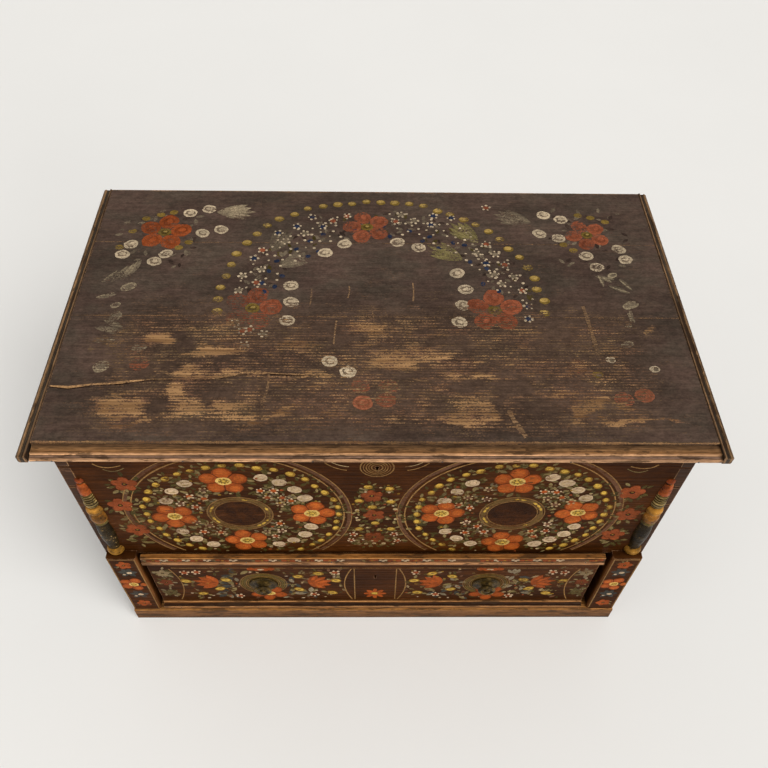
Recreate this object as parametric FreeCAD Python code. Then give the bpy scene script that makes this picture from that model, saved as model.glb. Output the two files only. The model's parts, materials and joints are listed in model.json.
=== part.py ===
"""Painted pine trunk: a dovetailed chest with a hinged lid, on a base with one drawer.

Frame: millimetres, +X to the right, +Y to the back, +Z up, origin on the floor under the
middle of the lid.
"""
import FreeCAD, Part
import os

Vector = FreeCAD.Vector

# Whole trunk
lid_width = 1200.0
lid_depth = 697.0
overall_height = 718.0
overhang_side = 36.0
overhang_front = 36.0
overhang_back = 15.0

# Lid
lid_thickness = 20.0
lid_front_board_depth = 290.0
lid_middle_board_depth = 208.0
board_gap = 0.4
moulding_depth = 30.0
moulding_height = 12.0
moulding_step = 4.0
moulding_fillet_setback = 10.0
moulding_fillet_height = 1.5
moulding_bead_radius = 3.75
moulding_left_gap = 3.0
cleat_width = 19.0
cleat_height = 18.0
cleat_proud = 2.0
cleat_end_radius = 6.0
batten_width = 60.0
batten_thickness = 18.0
batten_end_gap = 34.0
batten_end_distance = 374.0

# Chest
front_thickness = 24.0
side_thickness = 22.0
back_thickness = 20.0
tail_pitch = 66.0
tail_pin = 16.0
tail_flare = 5.0
floor_thickness = 18.0
floor_rise = 14.0
floor_groove = 8.0
floor_board_count = 3

# Base
base_height = 294.0
base_inset = 4.0
base_side_thickness = 20.0
base_back_thickness = 18.0
post_width = 62.0
post_depth = 45.0
post_chamfer = 3.0
ledge_depth = 20.0
ledge_lip = 11.0
plinth_height = 45.0
plinth_proud = 3.0
plinth_chamfer = 3.0

# Turned columns on the front corners, bottom member first: height, then the radius below,
# half way up and above
column_edge_distance = 25.0
column_sink = 4.0
column_members = [
    (24.0, 14.5, 18.5, 14.5),
    (11.0, 13.5, 12.5, 13.0),
    (90.0, 13.0, 17.0, 13.5),
    (7.0, 14.0, 15.5, 14.0),
    (35.0, 14.0, 17.5, 14.5),
    (20.0, 15.0, 17.0, 13.0),
    (4.0, 11.0, 10.5, 11.0),
    (22.0, 12.5, 14.5, 12.0),
    (7.0, 12.0, 13.5, 12.0),
    (7.0, 12.0, 13.5, 12.0),
    (7.0, 11.5, 13.0, 11.5),
    (36.0, 12.0, 12.0, 9.0),
    (4.0, 7.5, 7.0, 7.5),
    (12.0, 8.0, 9.5, 6.5),
]

# Drawer
drawer_left_gap = 9.0
drawer_right_gap = 15.0
drawer_floor_gap = 2.5
drawer_top_gap = 2.0
panel_setback = 12.0
drawer_front_thickness = 20.0
drawer_side_thickness = 14.0
drawer_side_drop = 32.5
drawer_back_thickness = 12.0
drawer_bottom_thickness = 8.0
drawer_bottom_rise = 8.0
drawer_groove = 5.0
drawer_tail_lap = 12.0
drawer_tail_pitch = 53.0
drawer_tail_pin = 12.0
drawer_tail_flare = 2.5
drawer_back_room = 32.0
top_moulding_height = 34.0
top_moulding_depth = 12.5
bottom_moulding_height = 19.5
bottom_moulding_depth = 12.0

# Drawer runway
runner_height = 20.0
runner_inside = 6.0
guide_height = 30.0
guide_gap = 1.5
seat_gap = 0.3
stop_width = 40.0

# Knobs
knob_end_distance = 249.0
knob_rise = 110.5
knob_tenon_radius = 9.0
knob_rosette_radius = 30.0
knob_neck_radius = 11.0
knob_head_radius = 19.5
knob_projection = 22.0
knob_dish_radius = 13.0
knob_dish_depth = 5.4
knob_button_radius = 6.5

# Locks
keyhole_radius = 4.0
keyhole_slot_width = 4.6
keyhole_slot_length = 13.0
lock_wall = 2.0
lock_depth = 16.0
lock_pin_radius = 2.5
lock_play = 0.3
lid_keyhole_drop = 67.0
lid_lock_width = 150.0
lid_lock_below_keyhole = 32.0
lid_lock_top_gap = 4.5
lid_bolt_height = 12.0
lid_bolt_thickness = 5.0
lid_bolt_length = 60.0
lid_bolt_drop = 14.0
lid_bolt_tail = 33.0
lid_bolt_foot_height = 8.0
lid_bolt_tail_width = 12.0
lid_bolt_rest_gap = 4.0
lid_bolt_throw = 18.0
lid_rest_height = 6.0
staple_thickness = 4.0
staple_width = 11.0
staple_length = 37.0
staple_setback = 1.5
staple_wall = 2.0
staple_plate_thickness = 2.5
staple_plate_width = 60.0
staple_plate_depth = 28.0
drawer_keyhole_drop = 95.0
drawer_lock_width = 80.0
drawer_lock_below_keyhole = 20.0
drawer_lock_top_gap = 3.0
drawer_bolt_width = 28.0
drawer_bolt_thickness = 5.0
drawer_bolt_length = 76.0
drawer_bolt_top_gap = 1.0
drawer_bolt_notch_width = 14.0
drawer_bolt_notch_height = 8.0
drawer_rest_width = 6.0
drawer_rest_height = 5.0
drawer_bolt_setback = 1.0
drawer_bolt_mortise_depth = 11.0
drawer_bolt_mortise_play = 1.0

# Hinges
hinge_end_distance = 174.0
hinge_width = 36.0
hinge_leaf_thickness = 3.0
hinge_barrel_radius = 6.0
hinge_barrel_clearance = 0.4
hinge_pin_radius = 3.0
hinge_pin_play = 0.05
hinge_knuckle_gap = 0.4
hinge_plate_height = 110.0
hinge_strap_length = 240.0
hinge_strap_tip_width = 20.0
hinge_notch_play = 0.5

# Nails
nail_radius = 1.3
nail_head_radius = 3.6
nail_head_thickness = 1.4
nail_length = 16.0
batten_nail_length = 32.0
sprig_radius = 1.8
sprig_length = 46.0
moulding_sprig_count = 6
cleat_sprig_count = 4
sprig_end_margin = 40.0

# Places worked out from the sizes above
lid_front = -lid_depth / 2
lid_back = lid_depth / 2
lid_top = overall_height - cleat_proud
case_top = lid_top - lid_thickness
lid_board_front = lid_front + moulding_depth
lid_board_end = lid_width / 2 - cleat_width
case_side = lid_width / 2 - overhang_side
case_front = lid_front + overhang_front
case_back = lid_back - overhang_back
front_inside = case_front + front_thickness
back_inside = case_back - back_thickness
side_inside = case_side - side_thickness
floor_under = base_height + floor_rise
post_front = case_front - ledge_depth
post_back = post_front + post_depth
base_side = case_side - base_inset
base_inside = base_side - base_side_thickness
base_back_inside = case_back - base_back_thickness
post_inside = base_side - post_width
drawer_left = -post_inside + drawer_left_gap
drawer_right = post_inside - drawer_right_gap
drawer_width = drawer_right - drawer_left
drawer_under = plinth_height + drawer_floor_gap
drawer_top = base_height - drawer_top_gap
panel_front = post_front + panel_setback
panel_back = panel_front + drawer_front_thickness
drawer_end = base_back_inside - drawer_back_room
drawer_side_top = drawer_top - drawer_side_drop
drawer_keyhole_z = drawer_top - drawer_keyhole_drop
knob_x = post_inside - knob_end_distance
knob_z = drawer_under + knob_rise
runner_top = drawer_under - seat_gap
lid_keyhole_z = case_top - lid_keyhole_drop
batten_x = case_side - batten_end_distance
hinge_x = case_side - hinge_end_distance
hinge_axis_y = case_back + hinge_barrel_radius + hinge_barrel_clearance
hinge_axis_z = case_top - hinge_barrel_radius - hinge_barrel_clearance


def box(x_range, y_range, z_range):
    """Box between two X, two Y and two Z values."""
    low = Vector(min(x_range), min(y_range), min(z_range))
    high = Vector(max(x_range), max(y_range), max(z_range))
    size = high - low
    return Part.makeBox(size.x, size.y, size.z, low)


def cylinder(start, end, radius):
    """Cylinder between the centres of its two end faces."""
    axis = end - start
    return Part.makeCylinder(radius, axis.Length, start, axis)


def closed_face(start, steps, place):
    """Face inside an outline. A step is a point for a straight run, or a pair of points for an arc
    that goes through the first to the second. place turns an outline point into a 3-D point."""
    edges = []
    here = start
    for step in steps + [start]:
        if isinstance(step[0], tuple):
            via, there = step
            edges.append(Part.Arc(place(here), place(via), place(there)).toShape())
        else:
            there = step
            if there != here:
                edges.append(Part.LineSegment(place(here), place(there)).toShape())
        here = there
    return Part.Face(Part.Wire(edges))


def joined(shapes):
    """One solid from shapes that share faces."""
    return shapes[0].multiFuse(shapes[1:]).removeSplitter()


def mirrored(shape):
    """The same shape on the other side of the trunk's middle plane."""
    return shape.mirror(Vector(0, 0, 0), Vector(1, 0, 0))


def nail(head_centre, direction, length):
    """Round-headed nail: its head lies on the surface, its shank goes in along direction."""
    tip = head_centre + direction * length
    outside = head_centre - direction * nail_head_thickness
    return joined([cylinder(head_centre, tip, nail_radius), cylinder(outside, head_centre, nail_head_radius)])


def dovetails(x_range, root_y, end_y, z_range, pitch, pin, flare):
    """Tails on the end of a side board, wider at end_y than at root_y."""
    low, high = z_range
    count = max(2, round((high - low) / pitch))
    step = (high - low) / count
    root_half = (step - pin) / 2
    tails = []
    for index in range(count):
        middle = low + (index + 0.5) * step
        outline = [
            (end_y, middle - root_half - flare),
            (end_y, middle + root_half + flare),
            (root_y, middle + root_half),
        ]
        face = closed_face((root_y, middle - root_half), outline, lambda p: Vector(x_range[0], p[0], p[1]))
        tails.append(face.extrude(Vector(x_range[1] - x_range[0], 0, 0)))
    return tails


def keyhole(y_range, x, z):
    """Round hole with a slot below it, through a board from y_range[0] to y_range[1]."""
    hole = cylinder(Vector(x, y_range[0], z), Vector(x, y_range[1], z), keyhole_radius)
    half = keyhole_slot_width / 2
    slot = box((x - half, x + half), y_range, (z - keyhole_slot_length, z))
    return hole.fuse(slot)


# Chest

def chest_floor():
    """Loose boards, side by side, let into a groove in all four walls."""
    half = side_inside + floor_groove
    front = front_inside - floor_groove
    back = back_inside + floor_groove
    step = (back - front) / floor_board_count
    heights = (floor_under, floor_under + floor_thickness)
    boards = []
    for index in range(floor_board_count):
        y_range = (front + index * step, front + (index + 1) * step)
        boards.append(box((-half, half), y_range, heights))
    return boards


def chest_tails(side):
    """Tails of one side board, front corner then back corner."""
    x_range = (side * side_inside, side * case_side)
    heights = (base_height, case_top)
    front = dovetails(x_range, front_inside, case_front, heights, tail_pitch, tail_pin, tail_flare)
    back = dovetails(x_range, back_inside, case_back, heights, tail_pitch, tail_pin, tail_flare)
    return front, back


def chest_side(side, floor):
    front_tails, back_tails = chest_tails(side)
    board = box((side * side_inside, side * case_side), (front_inside, back_inside), (base_height, case_top))
    return joined([board] + front_tails + back_tails).cut(floor)


def chest_front(floor):
    board = box((-case_side, case_side), (case_front, front_inside), (base_height, case_top))
    for side in (-1, 1):
        board = board.cut(Part.makeCompound(chest_tails(side)[0]))
    board = board.cut(keyhole((case_front - 1, front_inside + 1), 0, lid_keyhole_z))
    board = board.cut(drawer_bolt_mortise())
    return board.cut(floor)


def chest_back(floor, nails):
    board = box((-case_side, case_side), (back_inside, case_back), (base_height, case_top))
    for side in (-1, 1):
        board = board.cut(Part.makeCompound(chest_tails(side)[1]))
        board = board.cut(hinge_notch(side))
    return board.cut(floor).cut(nails)


# Turned columns

def column():
    """Split turning on the right front corner, flat against the front board."""
    z = base_height + ledge_lip
    steps = []
    for height, low_radius, middle_radius, high_radius in column_members:
        steps.append((low_radius, z))
        steps.append(((middle_radius, z + height / 2), (high_radius, z + height)))
        z += height
    steps.append((0, z))
    axis = Vector(case_side - column_edge_distance, case_front + column_sink, 0)
    start = (0, base_height + ledge_lip)
    face = closed_face(start, steps, lambda p: axis + Vector(p[0], 0, p[1]))
    turning = face.revolve(axis, Vector(0, 0, 1), 360)
    reach = max(member[2] for member in column_members) + column_sink
    front_half = box((axis.x - reach, axis.x + reach), (case_front - reach, case_front), (0, z + 1))
    return turning.common(front_half)


# Base

def post():
    """Right front post: its lip stands in front of the chest's lower edge and carries the column."""
    x_range = (post_inside, base_side)
    stem = box(x_range, (post_front, post_back), (plinth_height, base_height))
    lip = box(x_range, (post_front, case_front), (base_height, base_height + ledge_lip))
    solid = joined([stem, lip])
    edges = [e for e in solid.Edges if on_post_front(e)]
    return solid.makeChamfer(post_chamfer, edges)


def on_post_front(edge):
    """True for the two upright edges of a post's front face."""
    ends = [v.Point for v in edge.Vertexes]
    upright = abs(ends[0].z - ends[-1].z) > plinth_height
    return upright and all(abs(p.y - post_front) < 0.01 for p in ends)


def plinth_rail():
    """Rail on the floor under both posts and the drawer."""
    front = post_front - plinth_proud
    outline = [
        (front, plinth_height - plinth_chamfer),
        (front + plinth_chamfer, plinth_height),
        (post_back, plinth_height),
        (post_back, 0),
    ]
    face = closed_face((front, 0), outline, lambda p: Vector(-base_side, p[0], p[1]))
    return face.extrude(Vector(2 * base_side, 0, 0))


def base_side_board(side):
    return box((side * base_inside, side * base_side), (post_back, case_back), (0, base_height))


def base_back():
    return box((-base_inside, base_inside), (base_back_inside, case_back), (0, base_height))


# Drawer runway

def drawer_edge(side):
    """Outer face of the drawer's side on that side."""
    return drawer_right if side > 0 else drawer_left


def runner(side):
    inner = drawer_edge(side) - side * (drawer_side_thickness + runner_inside)
    heights = (runner_top - runner_height, runner_top)
    return box((side * base_inside, inner), (post_back, base_back_inside), heights)


def guide(side):
    inner = drawer_edge(side) + side * guide_gap
    heights = (runner_top, runner_top + guide_height)
    return box((side * base_inside, inner), (post_back, base_back_inside), heights)


def drawer_stop(side):
    """Block on the runner, behind the drawer's side."""
    outer = drawer_edge(side) + side * guide_gap
    inner = drawer_edge(side) - side * (drawer_side_thickness + runner_inside)
    heights = (runner_top, runner_top + stop_width)
    return box((outer, inner), (drawer_end + seat_gap, base_back_inside), heights)


# Drawer

def drawer_tails(side):
    """Half-blind tails of a drawer side, in the back of the drawer front."""
    edge = drawer_edge(side)
    x_range = (edge - side * drawer_side_thickness, edge)
    heights = (drawer_under, drawer_side_top)
    lap_end = panel_back - drawer_tail_lap
    return dovetails(x_range, panel_back, lap_end, heights, drawer_tail_pitch, drawer_tail_pin, drawer_tail_flare)


def drawer_bottom():
    """Thin board in a groove of the front and the sides, under the back."""
    low = drawer_under + drawer_bottom_rise
    left = drawer_left + drawer_side_thickness - drawer_groove
    right = drawer_right - drawer_side_thickness + drawer_groove
    return box((left, right), (panel_back - drawer_groove, drawer_end), (low, low + drawer_bottom_thickness))


def drawer_side(side, bottom):
    edge = drawer_edge(side)
    heights = (drawer_under, drawer_side_top)
    board = box((edge - side * drawer_side_thickness, edge), (panel_back, drawer_end), heights)
    return joined([board] + drawer_tails(side)).cut(bottom)


def drawer_back():
    left = drawer_left + drawer_side_thickness
    right = drawer_right - drawer_side_thickness
    low = drawer_under + drawer_bottom_rise + drawer_bottom_thickness
    y_range = (drawer_end - drawer_back_thickness, drawer_end)
    return box((left, right), y_range, (low, drawer_side_top))


def drawer_front(bottom, nails):
    board = box((drawer_left, drawer_right), (panel_front, panel_back), (drawer_under, drawer_top))
    for side in (-1, 1):
        board = board.cut(Part.makeCompound(drawer_tails(side)))
        tenon_hole = cylinder(
            Vector(side * knob_x, panel_front, knob_z),
            Vector(side * knob_x, panel_back, knob_z),
            knob_tenon_radius,
        )
        board = board.cut(tenon_hole)
    board = board.cut(keyhole((panel_front - 1, panel_back + 1), 0, drawer_keyhole_z))
    return board.cut(bottom).cut(nails)


def drawer_top_moulding(sprigs):
    """Lipped moulding on the drawer front's upper edge: a ledge, a flat and a round below it."""
    top = base_height + ledge_lip
    low = top - top_moulding_height
    lip_y = panel_front - top_moulding_depth
    face_y = lip_y + 2.0
    round_top = top - 15.0
    outline = [
        (panel_front, top),
        (face_y + 1.0, top),
        (face_y, top - 1.0),
        (face_y, round_top),
        (lip_y, round_top - 1.0),
        (lip_y, round_top - 3.0),
        ((lip_y + 1.5, low + 4.0), (lip_y + 5.5, low)),
    ]
    face = closed_face((panel_front, low), outline, lambda p: Vector(drawer_left, p[0], p[1]))
    return face.extrude(Vector(drawer_width, 0, 0)).cut(sprigs)


def drawer_bottom_moulding(sprigs):
    """Coved moulding on the drawer front's lower edge."""
    low = drawer_under
    top = low + bottom_moulding_height
    nose_y = panel_front - bottom_moulding_depth
    outline = [
        (panel_front, top),
        (panel_front - 2.5, top),
        ((panel_front - 4.5, top - 5.0), (nose_y + 3.0, top - 7.0)),
        (nose_y + 1.0, top - 7.0),
        (nose_y, top - 8.0),
        (nose_y, low + 2.0),
        ((nose_y + 0.6, low + 0.6), (nose_y + 2.0, low)),
    ]
    face = closed_face((panel_front, low), outline, lambda p: Vector(drawer_left, p[0], p[1]))
    return face.extrude(Vector(drawer_width, 0, 0)).cut(sprigs)


def knob(side):
    """Turned knob: a rosette on the drawer front, a neck, a dished head with a button and a tenon."""
    dish = knob_projection - knob_dish_depth
    steps = [
        (knob_tenon_radius, -drawer_front_thickness),
        (knob_tenon_radius, 0),
        (knob_rosette_radius, 0),
        ((knob_rosette_radius + 0.8, 1.8), (knob_rosette_radius - 1.5, 3.5)),
        (knob_rosette_radius - 5, 4.0),
        ((knob_neck_radius + 4, 5.2), (knob_neck_radius, 9.0)),
        ((knob_neck_radius + 2.5, 12.5), (knob_head_radius - 2, 14.0)),
        ((knob_head_radius, 16.5), (knob_head_radius - 2, 19.0)),
        (((knob_head_radius + knob_dish_radius) / 2 - 0.8, 20.4), (knob_dish_radius, 19.6)),
        ((knob_dish_radius - 2.0, dish + 0.6), (knob_button_radius + 1.5, dish)),
        (knob_button_radius, dish),
        ((knob_button_radius - 0.7, knob_projection - 1.4), (3.0, knob_projection)),
        (0, knob_projection),
    ]
    centre = Vector(side * knob_x, panel_front, knob_z)
    face = closed_face((0, -drawer_front_thickness), steps, lambda p: centre + Vector(p[0], -p[1], 0))
    return face.revolve(centre, Vector(0, 1, 0), 360)


# Lid

def lid_boards(cuts):
    """Three boards, front first, edge to edge with an open joint between them."""
    first = lid_board_front + lid_front_board_depth
    second = first + lid_middle_board_depth
    spans = [
        (lid_board_front, first),
        (first + board_gap, second),
        (second + board_gap, lid_back),
    ]
    boards = []
    for y_range in spans:
        board = box((-lid_board_end, lid_board_end), y_range, (case_top, lid_top))
        boards.append(board.cut(cuts))
    return boards


def lid_front_moulding(sprigs):
    """Moulding on the lid's front edge: a strip below the lid's top, a fillet, a cove and a bead."""
    top = lid_top - moulding_step
    low = top - moulding_height
    fillet_y = lid_front + moulding_fillet_setback
    bead_y = lid_front + moulding_bead_radius
    bead_top = low + 2 * moulding_bead_radius
    cove_top = top - moulding_fillet_height
    cove_middle = (bead_y + (fillet_y - bead_y) * 0.6, bead_top + (cove_top - bead_top) * 0.25)
    outline = [
        (lid_board_front, top),
        (fillet_y, top),
        (fillet_y, cove_top),
        (cove_middle, (bead_y, bead_top)),
        ((lid_front, low + moulding_bead_radius), (bead_y, low)),
    ]
    left = -lid_board_end + moulding_left_gap
    face = closed_face((lid_board_front, low), outline, lambda p: Vector(left, p[0], p[1]))
    return face.extrude(Vector(lid_board_end - left, 0, 0)).cut(sprigs)


def lid_cleat(sprigs):
    """Moulding on the lid's right end: a small bead, a channel and a rounded outer edge."""
    low = overall_height - cleat_height
    end = lid_board_end
    outer = lid_width / 2
    outline = [
        (end, lid_top),
        ((end + 2.0, overall_height), (end + 4.0, lid_top)),
        (end + 5.0, lid_top - 1.5),
        (outer - 8.0, lid_top - 1.5),
        (outer - 7.5, lid_top - 0.2),
        ((outer - 1.8, lid_top - 2.6), (outer, lid_top - 7.0)),
        (outer, low + 4.0),
        ((outer - 1.2, low + 1.2), (outer - 4.0, low)),
    ]
    face = closed_face((end, low), outline, lambda p: Vector(p[0], lid_front, p[1]))
    bar = face.extrude(Vector(0, lid_depth, 0))
    corner = box((outer - cleat_end_radius, outer), (lid_front, lid_front + cleat_end_radius), (low, overall_height))
    round_end = cylinder(
        Vector(outer - cleat_end_radius, lid_front + cleat_end_radius, low),
        Vector(outer - cleat_end_radius, lid_front + cleat_end_radius, overall_height),
        cleat_end_radius,
    )
    return bar.cut(corner.cut(round_end)).cut(sprigs)


def lid_batten(side, nails):
    """Bar under the lid that holds its boards together."""
    x_range = (side * batten_x - batten_width / 2, side * batten_x + batten_width / 2)
    y_range = (front_inside + batten_end_gap, back_inside - batten_end_gap)
    return box(x_range, y_range, (case_top - batten_thickness, case_top)).cut(nails)


def batten_nails():
    """Three nails up through each batten, one into each lid board."""
    first = lid_board_front + lid_front_board_depth
    second = first + lid_middle_board_depth
    batten_back = back_inside - batten_end_gap
    rows = [(front_inside + first) / 2, (first + second) / 2, (second + batten_back) / 2]
    under = case_top - batten_thickness
    return [
        nail(Vector(side * batten_x, y, under), Vector(0, 0, 1), batten_nail_length)
        for side in (-1, 1)
        for y in rows
    ]


def lid_sprigs():
    """Headless nails that hold the front moulding and the two cleats to the lid's boards."""
    height = lid_top - moulding_step - moulding_height + moulding_bead_radius
    sprigs = []
    half = lid_board_end - sprig_end_margin
    for index in range(moulding_sprig_count):
        x = -half + 2 * half * index / (moulding_sprig_count - 1)
        start = Vector(x, lid_front, height)
        sprigs.append(cylinder(start, start + Vector(0, sprig_length, 0), sprig_radius))
    cleat_middle = overall_height - cleat_height + 6.5
    first = lid_board_front + sprig_end_margin
    last = lid_back - sprig_end_margin
    for index in range(cleat_sprig_count):
        y = first + (last - first) * index / (cleat_sprig_count - 1)
        for side in (-1, 1):
            start = Vector(side * lid_width / 2, y, cleat_middle)
            sprigs.append(cylinder(start, start - Vector(side * sprig_length, 0, 0), sprig_radius))
    return sprigs


# Hinges

def hinge_notch(side):
    """Notch in the back board's upper edge that lets the lid's strap lie flush."""
    half = hinge_width / 2 + hinge_notch_play
    depth = hinge_leaf_thickness + hinge_notch_play
    return box(
        (side * hinge_x - half, side * hinge_x + half),
        (back_inside, case_back),
        (case_top - depth, case_top),
    )


def knuckle(x, half_width):
    start = Vector(x - half_width, hinge_axis_y, hinge_axis_z)
    return cylinder(start, start + Vector(2 * half_width, 0, 0), hinge_barrel_radius)


def hinge_bore(x):
    radius = hinge_pin_radius + hinge_pin_play
    half = hinge_width / 2
    start = Vector(x - half, hinge_axis_y, hinge_axis_z)
    return cylinder(start, start + Vector(hinge_width, 0, 0), radius)


def hinge_strap(side, nails):
    """Leaf under the lid: one knuckle, a tongue and a strap that narrows towards its tip."""
    x = side * hinge_x
    half_knuckle = hinge_width / 6 - hinge_knuckle_gap / 2
    under = case_top - hinge_leaf_thickness
    tongue = box((x - half_knuckle, x + half_knuckle), (case_back, hinge_axis_y), (under, case_top))
    root = case_back - hinge_barrel_clearance
    tip = root - hinge_strap_length
    half = hinge_width / 2
    half_tip = hinge_strap_tip_width / 2
    outline = [
        (x + half, root),
        (x + half_tip, tip),
        ((x, tip - half_tip), (x - half_tip, tip)),
    ]
    face = closed_face((x - half, root), outline, lambda p: Vector(p[0], p[1], under))
    strap = face.extrude(Vector(0, 0, hinge_leaf_thickness))
    neck = box((x - half_knuckle, x + half_knuckle), (root, case_back), (under, case_top))
    leaf = joined([knuckle(x, half_knuckle), tongue, neck, strap])
    return leaf.cut(hinge_bore(x)).cut(nails)


def hinge_plate(side, nails):
    """Leaf on the outside of the back board: two knuckles and a plate below them."""
    x = side * hinge_x
    half = hinge_width / 2
    middle = hinge_width / 6 + hinge_knuckle_gap / 2
    outer_y = case_back + hinge_leaf_thickness
    low = hinge_axis_z - hinge_plate_height
    shoulder = hinge_axis_z - hinge_barrel_radius - hinge_barrel_clearance
    plate = box((x - half, x + half), (case_back, outer_y), (low, shoulder))
    pieces = [plate]
    for hand in (-1, 1):
        x_range = (x + hand * middle, x + hand * half)
        pieces.append(box(x_range, (case_back, outer_y), (shoulder, hinge_axis_z)))
        pieces.append(knuckle(sum(x_range) / 2, (half - middle) / 2))
    return joined(pieces).cut(hinge_bore(x)).cut(nails)


def hinge_pin(side):
    start = Vector(side * hinge_x - hinge_width / 2, hinge_axis_y, hinge_axis_z)
    return cylinder(start, start + Vector(hinge_width, 0, 0), hinge_pin_radius)


def hinge_strap_nails():
    under = case_top - hinge_leaf_thickness
    nails = []
    for side in (-1, 1):
        for share in (0.25, 0.5, 0.75, 0.98):
            y = case_back - hinge_strap_length * share
            nails.append(nail(Vector(side * hinge_x, y, under), Vector(0, 0, 1), nail_length))
    return nails


def hinge_plate_nails():
    outer_y = case_back + hinge_leaf_thickness
    nails = []
    for side in (-1, 1):
        for share in (0.35, 0.6, 0.85):
            z = hinge_axis_z - hinge_plate_height * share
            nails.append(nail(Vector(side * hinge_x, outer_y, z), Vector(0, -1, 0), nail_length))
    return nails


# Lid lock

lid_lock_low = lid_keyhole_z - lid_lock_below_keyhole
lid_lock_high = case_top - lid_lock_top_gap
lid_bolt_top = lid_lock_high - lid_bolt_drop
lid_bolt_nose = -staple_thickness / 2 - lid_bolt_rest_gap
lid_bolt_tail_left = lid_bolt_nose - lid_bolt_throw - lid_bolt_tail_width
lid_bolt_y = front_inside + (lock_depth - lock_wall - lid_bolt_thickness) / 2


def lock_tray(half_width, y_front, z_range):
    """Shallow iron box, open towards the board it is nailed to."""
    low, high = z_range
    outer = box((-half_width, half_width), (y_front, y_front + lock_depth), z_range)
    inner = box(
        (-half_width + lock_wall, half_width - lock_wall),
        (y_front, y_front + lock_depth - lock_wall),
        (low + lock_wall, high - lock_wall),
    )
    return outer.cut(inner)


def lock_pin(y_front, z):
    """Pin on the keyhole's axis that a hollow key turns on."""
    return cylinder(Vector(0, y_front, z), Vector(0, y_front + lock_depth - lock_wall, z), lock_pin_radius)


def lid_lock_case(nails):
    """Lock box inside the front board, with two rests under the bolt and a slot for the staple."""
    half = lid_lock_width / 2
    tray = lock_tray(half, front_inside, (lid_lock_low, lid_lock_high))
    rest_top = lid_bolt_top - lid_bolt_height - lock_play
    rest_heights = (rest_top - lid_rest_height, rest_top)
    back = front_inside + lock_depth - lock_wall
    left_rest_end = lid_bolt_tail_left - 2.0
    right_rest_start = staple_thickness / 2 + 2.0
    pieces = [tray, lock_pin(front_inside, lid_keyhole_z)]
    for x_range in ((-half + lock_wall, left_rest_end), (right_rest_start, half - lock_wall)):
        pieces.append(box(x_range, (front_inside, back), rest_heights))
    half_slot = staple_thickness / 2 + 1.5
    slot = box((-half_slot, half_slot), (front_inside, back), (lid_lock_high - lock_wall, lid_lock_high))
    return joined(pieces).cut(slot).cut(nails)


def lid_lock_bolt():
    """Sliding bolt, drawn back: its nose points at the staple's eye, and its tail ends in a foot that
    the key pushes, under the staple."""
    y_range = (lid_bolt_y, lid_bolt_y + lid_bolt_thickness)
    low = lid_bolt_top - lid_bolt_height
    bar = box((lid_bolt_nose - lid_bolt_length, lid_bolt_nose), y_range, (low, lid_bolt_top))
    foot_low = lid_bolt_top - lid_bolt_tail
    tail_x = (lid_bolt_tail_left, lid_bolt_tail_left + lid_bolt_tail_width)
    tail = box(tail_x, y_range, (foot_low, low))
    foot = box((lid_bolt_tail_left, lid_bolt_nose), y_range, (foot_low, foot_low + lid_bolt_foot_height))
    return joined([bar, tail, foot])


def lid_lock_staple(nails):
    """Eye plate that hangs from the lid into the lock, on a base plate under the lid."""
    under = case_top - staple_plate_thickness
    middle_y = lid_bolt_y + lid_bolt_thickness / 2
    half = staple_thickness / 2
    plate = box(
        (-staple_plate_width / 2, staple_plate_width / 2),
        (front_inside + staple_setback, front_inside + staple_setback + staple_plate_depth),
        (under, case_top),
    )
    y_range = (middle_y - staple_width / 2, middle_y + staple_width / 2)
    eye_plate = box((-half, half), y_range, (case_top - staple_length, under))
    eye = box(
        (-half, half),
        (y_range[0] + staple_wall, y_range[1] - staple_wall),
        (lid_bolt_top - lid_bolt_height - 1.0, lid_bolt_top + 1.0),
    )
    return joined([plate, eye_plate]).cut(eye).cut(nails)


def lid_lock_nails():
    """Four nails through the lock box's flat corners into the front board."""
    half = lid_lock_width / 2 - lock_wall - 5.0
    back = front_inside + lock_depth
    length = lock_depth + nail_length
    return [
        nail(Vector(side * half, back, z), Vector(0, -1, 0), length)
        for side in (-1, 1)
        for z in (lid_lock_low + 7.0, lid_lock_high - 7.0)
    ]


def lid_staple_nails():
    under = case_top - staple_plate_thickness
    y = front_inside + staple_setback + staple_plate_depth / 2
    x = staple_plate_width / 2 - 8.0
    return [nail(Vector(side * x, y, under), Vector(0, 0, 1), nail_length) for side in (-1, 1)]


# Drawer lock

drawer_lock_low = drawer_keyhole_z - drawer_lock_below_keyhole
drawer_lock_high = drawer_top - drawer_lock_top_gap
drawer_bolt_y = panel_back + drawer_bolt_setback
drawer_bolt_top = drawer_top - drawer_bolt_top_gap


def drawer_bolt_slot():
    """Hole in the lock box's top for the bolt, with play all round."""
    half = drawer_bolt_width / 2 + lock_play
    y_range = (panel_back, drawer_bolt_y + drawer_bolt_thickness + lock_play)
    return box((-half, half), y_range, (drawer_lock_high - lock_wall, drawer_lock_high))


def drawer_lock_case(nails):
    half = drawer_lock_width / 2
    tray = lock_tray(half, panel_back, (drawer_lock_low, drawer_lock_high))
    back = panel_back + lock_depth - lock_wall
    rest_top = drawer_bolt_top - drawer_bolt_length - lock_play
    rest_x = (drawer_bolt_width / 2 - drawer_rest_width, drawer_bolt_width / 2)
    rest = box(rest_x, (panel_back, back), (rest_top - drawer_rest_height, rest_top))
    pieces = [tray, lock_pin(panel_back, drawer_keyhole_z), rest, mirrored(rest)]
    return joined(pieces).cut(drawer_bolt_slot()).cut(nails)


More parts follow.
